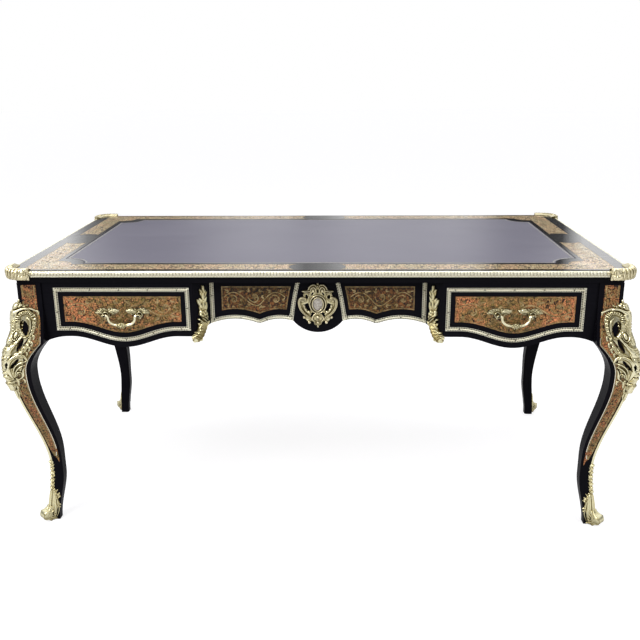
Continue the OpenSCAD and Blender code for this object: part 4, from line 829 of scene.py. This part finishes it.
def knee_relief():
    """Scrolls, ribs and leaves of a knee bronze, drawn round the leg's outer edge."""
    rim = spline([(44, 658), (50, 644), (51.5, 626), (51.5, 609), (49, 595), (49, 582), (45, 568)], 40)
    arch = spline([(7, 640), (7, 652), (13, 661), (26, 664), (38, 660), (46, 651)], 34)
    rib = sweep([(0, -5.4), (0, 5)], 6, (2.1, 1.0, 0.5), (4.4, 1.0, 0.4), 4)
    leaf = dict(columns=8, bite=0.3, lean=0.9, groove=0.3)

    def bar(points, half, rise, n=30, columns=8, **more):
        return sweep(points, n, (half, 1.0, 0.5), (rise, 1.0, 0.5), columns, **more)
    half = join(
        bar([(0, 640), (-1, 655), (3, 668), (15, 674), (29, 674), (42, 670), (56, 663)], 4.2, 8.0, 36),
        blade(arch, bud(7.0, 1.0, 0.5), bud(4.0, 1.0, 0.4), 8), move(repeat(rib, arch, 5.4), lift=2.2),
        bar(rim, 5.6, 3.6, 40), repeat(dome((0, 0), 4.4, 5.2, 6.0), rim, 10.4),
        bar([(29, 650), (38.5, 641), (43, 626), (43.5, 610), (39, 598), (30, 594)], 3.8, 6.6, groove=0.25),
        *leaves(16, 0.3, [([(5, 600), (2, 616), (4, 632)], 3.4, 5.0, 3), ([(5, 628), (1, 642), (3, 658)], 3.4, 5.0, 3),
                          ([(6, 584), (0, 594), (-2, 606)], 3.4, 5.0, 3)], **leaf),
        bar([(9, 646), (9, 632), (11, 618), (17, 606), (29, 596)], 8.6, 5.6, 36, 12, lobes=6, bite=0.18,
            lean=0.5, flutes=2),
        *[dome((18, z), 4.0, 4.6, 5.4) for z in (637, 627, 617)],
        dome((10, 603), 6.2, 11.5, 8.6, 5, 16), ring((10, 603), 8.0, 13.4, 32, 1.7, 6.4, 4),
        bar([(48, 592), (46, 576), (40, 562), (31, 552), (16, 546)], 9.0, 6.6, 30, 12, lobes=5, bite=0.2, flutes=2),
        bar([(27, 599), (18, 586), (10, 573), (3, 560), (2, 548)], 6.6, 7.0, 26, lobes=5, bite=0.15, lean=0.8),
        bar([(4, 510), (5, 526), (12, 539), (27, 545.5), (41, 541), (52, 528)], 5.2, 8.0, 34, groove=0.2),
        bar([(14, 499), (19, 513), (31, 523), (49, 527)], 3.2, 6.0, 24, 6),
        bar([(16, 484), (22, 501), (31, 511), (44, 517)], 3.0, 5.6, 22, 6),
        bar([(24, 474), (36, 484), (38, 500), (43, 509)], 3.4, 5.4, 20, 6),
        bar([(6, 552), (3, 530), (4, 505), (8, 478)], 4.0, 5.0, 26, 6),
        blade(spiral((27, 491), 9.5, 2.2, -70, 1.3), fade(3.0, 0.5), bud(6.0, 0.7, 0.5)),
        dome((27, 491), 3.6, 3.6, 6.2),
        *leaves(16, 0.2, [
            ([(50, 668), (57, 662), (59, 654)], 3.2, 4.4, 0), ([(50, 602), (58, 595), (58, 585)], 4.2, 5.0, 2),
            ([(50, 584), (57, 577), (56, 567)], 4.2, 5.0, 2), ([(47, 570), (53, 563), (51, 553)], 4.0, 4.6, 2),
            ([(41, 556), (48, 550), (47, 541)], 3.8, 4.6, 2), ([(4, 566), (-4, 570), (-6, 578)], 3.6, 4.0, 2),
            ([(4, 546), (-4, 549), (-6, 557)], 3.6, 4.0, 2), ([(30, 478), (37, 470), (35, 461)], 3.4, 3.6, 2),
            ([(12, 480), (17, 470), (16, 452)], 5.0, 4.6, 3), ([(6, 464), (10, 450), (7, 434)], 3.8, 3.8, 3),
            ([(3, 444), (7, 430), (4, 416)], 3.2, 3.2, 3)], **leaf))
    return join(
        both(half), *[dome((0, z), 4.4, 5.4, 5.2) for z in range(486, 552, 11)],
        *leaves(18, 0.4, [([(0, 672), (0, 684), (0, 698)], 4.6, 5.0, 3)], **leaf),
        *map(both, leaves(14, 0.3, [([(4, 676), (9, 683), (15, 687)], 4.2, 4.4, 3),
                                    ([(12, 676), (20, 681), (28, 681)], 2.6, 3.4, 2)], **leaf)),
        bar([(0, 650), (0, 628), (0, 604), (0, 580)], 5.0, 5.0, 26, 6, lobes=5, bite=0.2),
        repeat(bar([(0, -5.6), (0, 5.6)], 2.3, 6.4, 6, 4), spline([(0, 662), (0, 630), (0, 598)], 20), 8.0),
        bar([(-24, 473), (0, 466), (24, 473)], 4.0, 6.4, 21, 6, groove=0.3),
        sweep([(0, 466), (0, 440), (0, 410)], 26, (5.0, 0.7, 0.15), (4.6, 0.7, 0.4), lobes=6, **leaf))


def sabot_relief():
    """The shoe's hollow leaf with its spiked edge, and the chain of husks above it."""
    half = join(
        sweep([(9, 8), (12, 34), (11, 60), (8, 94)], 26, (8.0, 1.0, 0.6), (2.6, 0.9, 0.4), 10, groove=0.75),
        sweep([(2, 12), (2.5, 50), (1.5, 94)], 22, (1.8, 1.0, 0.6), (3.6, 1.0, 0.6), 4),
        sweep([(10, 2), (20, 12), (26, 32), (23, 50), (19, 66), (14, 78), (11, 94)], 34, (1.7, 1.0, 0.6),
              (3.4, 1.0, 0.6), 4),
        *leaves(14, 0.3, [
            ([(15, 72), (19, 79), (24, 85)], 2.8, 3.0, 3), ([(17, 66), (22, 71), (28, 75)], 3.0, 3.0, 3),
            ([(21, 46), (25, 49), (30, 48)], 3.0, 3.0, 3), ([(22, 38), (26, 41), (30, 40)], 2.6, 3.0, 3),
            ([(12, 84), (14, 90), (18, 95)], 2.4, 3.0, 3)], lean=0.9, groove=0.5),
        sweep([(4, 18), (10, 6), (20, 2)], 14, (2.6, 1.0, 0.5), (3.0,)),
        *[sweep([(0.3, z), (3.6, z + 3), (7.4, z + 9)], 8, (2.3, 1.0, 0.2), (3.4, 1.0, 0.4), 4)
          for z in range(98, 182, 12)])
    husks = [sweep([(0, z), (0, z + 6), (0, z + 11)], 8, (3.6, 1.3, 0.15), (4.6, 1.2, 0.2), groove=0.3)
             for z in range(96, 182, 12)]
    return join(both(half), *husks, dome((0, 188), 2.2, 3.0, 2.6), both(dome((6.5, 96), 4.0, 3.2, 3.2)))


def lay_legs():
    knee, shoe, eyes, painted_shade_films = knee_relief(), sabot_relief(), Piece(), Piece()
    # painted shade: dark ebonised films laid on the leg inside the knee bronze's three openings, standing in for the
    # shade there
    ground = []
    for at, tilt, wide, tall in (((28.9, 620), -17, 20, 43), ((26.1, 574.5), 27, 11, 39), ((17.6, 522.2), 42, 9, 33)):
        reach = 0.5 * tall * np.array([math.sin(math.radians(tilt)), math.cos(math.radians(tilt))])
        ground.append(blade(spline([at - reach, at + reach], 16), bud(0.5 * wide, 1.0, 0.1), same(0.5)))
    ground = both(join(*ground))
    toe = [blade(spiral((0, 0), 13.2, 2.6, 140, -1.7, 36), fade(2.3, 0.45), fade(2.0, 0.8)),
           dome((0, 0), 3.2, 3.2, 2.6)]
    eye = [blade(spiral((0, 0), 10.6, 3.4, 150, -1.3, 30), fade(1.5, 0.7), fade(0.9, 0.8), 4),
           dome((0, 0), 2.0, 2.0, 3.2)]
    for name, (sx, sy) in CORNERS.items():
        leg, wrap = "leg_" + name, leg_wrap(sx, sy)
        piece = Piece().lay(draped(wrap, "knee_mount_" + name, leg, "arris_fillets"), knee)
        piece.make("knee_relief_" + name, BRONZE)
        painted_shade_films.lay(draped(wrap, leg, "leg_inlays"), ground)
        piece = Piece().lay(draped(wrap, "sabot_" + name, leg), shoe)
        out, across = np.array([sx, sy, 0]) / math.sqrt(2), np.array([-sx, sy, 0]) / math.sqrt(2)
        reach = math.sqrt(2) * float(arris(21.0) - arris(0.0)) + 14.4
        centre = (sx * (BLOCK_X - 28), sy * (BLOCK_Y - 28), 21.0) + reach * out
        for side in (-1, 1):
            flank = flat(centre + side * 12.5 * across, out, (0, 0, 1), side * across)
            piece.lay(flank, *toe)
            eyes.lay(flank, *eye)
        piece.make("sabot_relief_" + name, PAINTED_LIGHT_BRONZE)
    eyes.make("toe_eyes", IRON)
    painted_shade_films.make("knee_painted_shade_films", CASE, slot="ebonised_wood")


def lay_top_corners():
    """Fluted shells on the top's corners, with pearls between the flutes and leaves along both edges."""
    middle_x, middle_y, between = SLAB_X - 30, SLAB_Y - 30, np.linspace(-27.5, 27.5, 6)
    fan = [sweep([(a, 25), (0.96 * a, -9)], 14, (4.2, 0.8, 0.3), (2.6, 0.8, 0.4)) for a in np.linspace(-33, 33, 7)]
    fan += [sweep([(a, -5), (a, -15)], 7, (3.4, 0.7, 0.3), (2.2,), groove=0.4) for a in between]
    fan += [dome((a, 22), 2.0, 2.0, 2.2) for a in between]
    leaf = dict(columns=8, lobes=4, bite=0.45, lean=0.8, groove=0.5)
    arm = join(sweep([(2, 5), (-14, 2), (-29, 5)], 18, (4.4, 0.7, 0.4), (3.0, 0.7, 0.4), **leaf),
               sweep([(2, 11), (-13, 14), (-25, 11)], 18, (4.0, 0.7, 0.4), (2.8, 0.7, 0.4), **leaf),
               sweep([(-20, 7), (-31, 8), (-41, 7)], 14, (3.6, 0.8, 0.2), (2.2,), **leaf),
               dome((-18, 8), 2.4, 2.4, 2.6))
    for name, (sx, sy) in CORNERS.items():
        def shell(p, sx=sx, sy=sy):
            turn, lean = np.radians(45 + p[:, 0] / 0.82), np.radians(p[:, 1] / 0.28)
            r, z = 30 + (17 + p[:, 2]) * np.cos(lean), 773 + (14 + p[:, 2]) * np.sin(lean)
            return np.column_stack([sx * (middle_x + r * np.cos(turn)), sy * (middle_y + r * np.sin(turn)), z])
        node = "top_corner_" + name
        piece = Piece().lay(draped(shell, node, reach=14), *fan)
        for side, at, sign in zip(name.split("_"), (middle_x, middle_y), (sx, sy)):
            piece.lay(draped(edge_run(side), node, "edge_mouldings", reach=14),
                      move(move(arm, (at, 0)), mirror=sign < 0))
        piece.make("corner_relief_" + name, OLD_BRONZE)


def lay_handles():
    plate = join(
        *leaves(16, 0.3, [
            ([(7, 3), (16, 6), (28, 5)], 3.8, 3.6, 4), ([(6, 6), (14, 10), (22, 13)], 3.4, 3.4, 4),
            ([(3, 8), (9, 13), (14, 17)], 3.2, 3.2, 4), ([(0, 8), (2, 13), (4, 18)], 2.8, 3.0, 4),
            ([(-6, 5), (-20, 10), (-38, 10.5)], 6.2, 4.0, 4), ([(-7, 8), (-10, 13), (-14, 17)], 2.8, 3.4, 4),
            ([(-16, 11), (-20, 15), (-27, 16)], 2.6, 3.4, 4), ([(-14, 4), (-20, 1.5), (-28, 3.5)], 2.4, 3.0, 4)],
            bite=0.4, lean=0.9, groove=0.5),
        ring((0, 0), 7.2, 7.2, 28, 2.0, 3.8), dome((0.5, -9.6), 4.2, 3.0, 3.6))
    eye = dome((0, 0), 3.0, 3.0, 0.15, 3, 14, sunk=-0.05)
    fan = join(*[sweep([(0, 0), (11.0 * math.cos(a), 8.5 * math.sin(a))], 7, (2.2, 1.2, 0.3), (3.0, 1.2, 0.5), 4,
                       groove=0.3) for a in np.radians([15, 50, 90, 130, 165, 205, 245, 295, 335])],
               dome((0, 0), 3.0, 3.0, 4.6), *[dome((a, 1.2), 2.8, 3.2, 2.6) for a in (13, -13)])
    for side, sx in SIDES.items():
        piece, eyes = Piece(), Piece()
        for s in (-1, 1):
            at = (sx * HANDLE_X + s * HANDLE_REACH, HANDLE_Z)
            piece.lay(front_at(PLATE_Y), move(move(plate, mirror=s < 0), at))
            eyes.lay(draped(front_at(EYE_Y), "handle_plates_" + side, reach=14), move(eye, at))
        piece.make("handle_relief_" + side, BRONZE, "drawer_" + side)
        eyes.make("handle_eyes_" + side, IRON, "drawer_" + side)
        knot = Piece().lay(front_at(KNOT_Y), move(fan, (sx * HANDLE_X, KNOT_Z)))
        knot.make("bail_knot_" + side, BRONZE, "bail_" + side)


def cartouche_relief():
    def rib(points, half, rise, n=24, groove=0.0):
        return sweep(points, n, (half, 1.0, 0.5), (rise, 1.0, 0.6), groove=groove)
    half = join(
        rib([(33, 4), (35, 12), (41.5, 15), (49, 12), (52, 4), (51, -8), (46, -20), (38, -30), (27, -39), (14, -48)],
            4.4, 5.4, 60, 0.35),
        rib([(40, -4), (37, -15), (30, -25), (19, -33)], 3.0, 4.2), dome((42, 6), 5.4, 5.4, 3.6),
        blade(spiral((42, 6), 7.0, 2.0, 200, -1.1, 22), fade(1.8, 0.5), fade(4.4, 0.8)),
        rib([(3, 44), (6, 51), (12, 53.5), (18, 51.5), (24, 45), (27, 37)], 2.3, 4.6, 30),
        rib([(5, 28), (6, 40), (12, 46), (18, 42), (20, 34)], 2.4, 4.2, 26), dome((12.5, 36), 4.4, 6.5, 2.6),
        rib([(19, 35.5), (31, 33.5), (44, 34.5)], 2.5, 4.4), rib([(21, 30), (29, 28.5), (38, 31)], 1.5, 3.4),
        rib([(37.5, 31), (39, 24), (41, 17)], 1.3, 2.6), rib([(22, 30), (24, 20), (27, 10)], 2.0, 3.4),
        rib([(6, -29), (13, -38), (16, -46), (8, -55)], 2.6, 4.2), rib([(25, -44), (31, -40), (38, -41)], 1.8, 3.2),
        *[dome(at, r, r, r) for at, r in (((38.5, -9), 3.7), ((34.5, -19), 4.2), ((25.5, -26), 4.8),
                                          ((38.5, -41.5), 4.2), ((24, -56), 4.8), ((18, -47), 3.2))],
        *leaves(14, 0.25, [([(6, -50), (9, -57), (6, -64)], 2.6, 3.6, 4),
                           ([(19, -14), (22, -4), (21, 8)], 2.2, 3.6, 4)], bite=0.4, lean=0.9, groove=0.5))
    return join(
        both(half), ring((0, -3), 22.4, 25.6, 56, 2.2, 4.0), ring((0, -3), 15.4, 19.6, 56, 2.3, 4.8),
        *[move(PEARL, at, lift=0.6, size=1.2) for at in bow((0, -3), 19.0, 22.6, 0, 352, 40)],
        *[dome((0, z), rx, rz, r) for z, rx, rz, r in (
            (56.5, 3.4, 4.2, 4.2), (49, 2.4, 3.2, 3.0), (-28, 3.4, 3.4, 4.0), (-40.5, 6.2, 5.2, 5.4),
            (-49, 4.4, 2.2, 3.4), (-56.5, 4.2, 4.0, 4.4), (-67, 2.8, 4.6, 3.6))])


def leaf_mount_relief():
    """A bud, two tiers of leaves, a rose and a broad acanthus that curls out below the frieze."""
    def frond(points, half, rise, lobes=3, foot=0.35, early=0.8):
        return sweep(points, 18, (half, early, foot), (rise, early, 0.5), 8, lobes=lobes, bite=0.3, lean=0.9,
                     groove=0.4, sunk=5.0)
    petals = [dome(at, rx, ry, h, 4, 14, 5.0) for at, rx, ry, h in (
        ((46, 656), 6.5, 7.0, 5.0), ((49, 650), 4.6, 5.0, 6.4), ((44, 647), 5.2, 4.6, 5.6), ((30, 656), 6.0, 5.4, 5.0),
        ((26, 649), 5.4, 6.0, 6.2), ((33, 648), 5.4, 5.0, 6.8), ((23, 640), 3.8, 4.6, 5.0), ((38, 654), 4.6, 5.4, 6.2),
        ((38, 652), 2.4, 3.0, 8.0), ((40, 645), 4.0, 3.6, 5.6), ((22.5, 621), 4.2, 7.0, 5.6),
        ((56, 637), 3.6, 3.0, 5.4))]
    ribs = [sweep(line, 12, (2.3, 1.0, 0.5), (h, 1.0, 0.5), sunk=5.0) for line, h in (
        ([(57, 638), (47, 630), (34, 619)], 6.0), ([(51, 629), (43, 622), (33, 611)], 6.0),
        ([(44, 640), (34, 632), (25, 624)], 6.2), ([(38, 643), (29, 638), (21, 630)], 5.8))]
    acanthus = blade(spline([(27, 626), (28, 614), (34, 603), (44, 592), (54, 585), (64, 581)], 44),
                     lambda t: (14.0 - 2.5 * np.sin(np.pi * np.clip(t * 1.5, 0, 1)) - 3.0 * ease((t - 0.5) / 0.5))
                     * np.sqrt(np.clip(1.02 - np.clip((t - 0.75) / 0.25, 0, 1) ** 2, 0, 1)),
                     lambda t: 6.0 + 9.0 * ease(t / 0.6) - 14.0 * ease((t - 0.8) / 0.2), 24, 0.35, 7, 0.18, 0.5,
                     sunk=5.0, flutes=4)
    points, quads = join(
        frond([(34.5, 712), (34, 722), (33, 731)], 4.6, 3.4, 2, 0.3),
        frond([(38, 711), (43, 716), (48.5, 722)], 2.8, 3.2, 0),
        frond([(31, 697), (26, 704), (21, 712)], 3.0, 3.2, 0),
        frond([(36, 690), (36, 700), (35, 712)], 5.6, 4.2, 0, 0.6, 1.0),
        frond([(39, 665), (47, 675), (57, 694)], 5.4, 4.6, 2), frond([(37, 665), (28, 671), (23, 682)], 5.0, 4.6, 2),
        frond([(38, 666), (37, 676), (36, 688)], 5.4, 3.6, 0, 0.6, 1.0), *petals, *ribs,
        frond([(44, 619), (52, 615), (58, 608)], 3.6, 6.0, 2), frond([(54, 607), (65, 600), (78, 603)], 4.0, 7.0, 0))
    return join(((points - (37, 0, 0)) * (0.82, 1, 1) + (27, 0, 0), quads), backed(acanthus, 5.0))


def lay_frieze_bronzes():
    mount, oval = leaf_mount_relief(), move(cartouche_relief(), (0, OVAL_Z))
    Piece().lay(front_at(-OVAL_Y), oval).make("cartouche_relief", OLD_BRONZE, "drawer_centre")
    backs = Piece().lay(back_at(OVAL_Y), oval)
    for side, sx in SIDES.items():
        for sy, piece in ((-1, Piece()), (1, backs)):
            along = (sx * math.cos(POST_TURN), -sy * math.sin(POST_TURN), 0)
            out = np.array([sx * math.sin(POST_TURN), sy * math.cos(POST_TURN), 0])
            piece.lay(flat((sx * POST_X, sy * CENTRE_Y, 0) + 5.0 * out, along, (0, 0, 1), out), mount)
            if sy < 0:
                piece.make("leaf_relief_" + side, PAINTED_LIGHT_BRONZE)
    backs.make("back_relief", BRONZE)


lay_marquetry()
lay_edges()
lay_frames()
lay_legs()
lay_top_corners()
lay_handles()
lay_frieze_bronzes()


# Camera, light and floor

def set_camera():
    """The photograph's camera, fitted to the table's corners and feet."""
    yaw, pitch, roll = (math.radians(a) for a in (1.77, -17.06, 0.42))
    turn = Matrix.Rotation(yaw, 3, "Z") @ Matrix.Rotation(pitch, 3, "X") @ Matrix.Rotation(roll, 3, "Y")
    right, ahead, up = turn.col
    data = bpy.data.cameras.new("photo_camera")
    data.sensor_width, data.lens = 36.0, 44.70
    data.clip_start, data.clip_end = 0.05, 60.0
    camera = stand("photo_camera", data)
    camera.matrix_world = Matrix.Translation((0.072, -2.53, 1.284)) @ Matrix((right, up, -ahead)).transposed().to_4x4()
    bpy.context.scene.camera = camera


# The room that shiny surfaces mirror: how bright it is in each direction round the table, in degrees from behind it
WINDOWS = [(-180, 0.20), (-151.2, 0.20), (-136.8, 0.9), (-100.8, 0.9), (-90, 0.15), (-68.4, 0.15), (-57.6, 1.0),
           (-19.0, 1.35), (-18.0, 0.10), (-12.0, 0.18), (-7.5, 0.85), (-4.4, 0.95), (-3.6, 0.30), (-1.6, 0.42),
           (-0.6, 0.95), (5.0, 0.70), (9.6, 1.1), (10.4, 0.03), (15.6, 0.05), (16.4, 1.35), (57.6, 1.0), (68.4, 0.15),
           (90, 0.15), (100.8, 0.9), (136.8, 0.9), (151.2, 0.20)]


def set_world():
    """White to the camera, an even grey to matt surfaces, and to shiny ones a room with tall bright windows."""
    p = Paint("studio", "worlds")
    bpy.context.scene.world = p.owner
    axes = p.split(p.coordinates["Generated"])
    turned = p.scaled(p.maths("ARCTAN2", axes[0], axes[1]), 0.5 / math.pi, 0.5)
    windows = p.ramp(turned, *[(0.5 + degrees / 360, tone) for degrees, tone in WINDOWS])
    room = p.blend(p.ramp(axes[2], (0.42, 0.0), (0.62, 1.0)), windows, (0.85, 0.85, 0.87))
    path = p.add("ShaderNodeLightPath").outputs
    shiny = p.maths("MAXIMUM", path["Is Glossy Ray"], path["Is Transmission Ray"])
    seen = p.blend(path["Is Camera Ray"], p.blend(shiny, (0.52, 0.52, 0.54), room), (1.0, 1.0, 1.0))
    p.add("ShaderNodeOutputWorld", p.add("ShaderNodeBackground", seen).outputs[0])


def add_lamp(name, place, aim, size, power):
    data = bpy.data.lights.new(name, "AREA")
    data.shape, data.energy = "RECTANGLE", power
    data.size, data.size_y = size
    lamp = stand(name, data)
    lamp.location = place
    lamp.visible_glossy = name != "fill"
    lamp.rotation_mode = "QUATERNION"
    lamp.rotation_quaternion = (Vector(aim) - Vector(place)).to_track_quat("-Z", "Y")


def add_floor(reach=30.0):
    """A wide pale floor that shows white to the camera and keeps a soft shadow."""
    mesh = bpy.data.meshes.new("floor")
    mesh.from_pydata([(-reach, -reach, 0), (reach, -reach, 0), (reach, reach, 0), (-reach, reach, 0)], [],
                     [(0, 1, 2, 3)])
    floor = stand("floor", mesh)
    p = Paint("pale_floor")
    path = p.add("ShaderNodeLightPath").outputs
    glow = p.scaled(path["Is Camera Ray"], 0.76, p.scaled(path["Is Glossy Ray"], 0.35))
    mesh.materials.append(p.surface(Base_Color=(0.36, 0.36, 0.37), Roughness=0.9, Emission_Color=(1.0, 1.0, 1.0),
                                    Emission_Strength=glow))


bpy.context.scene.view_settings.view_transform = "Standard"
set_camera()
set_world()
add_floor()
add_lamp("key", (-2.2, -2.6, 3.0), (0, 0, 0.5), (2.2, 1.6), 95)
add_lamp("fill", (2.6, -2.2, 2.0), (0, 0, 0.5), (1.8, 1.8), 45)
add_lamp("above", (0.0, 0.6, 3.4), (0, 0, 0.6), (3.0, 1.6), 60)
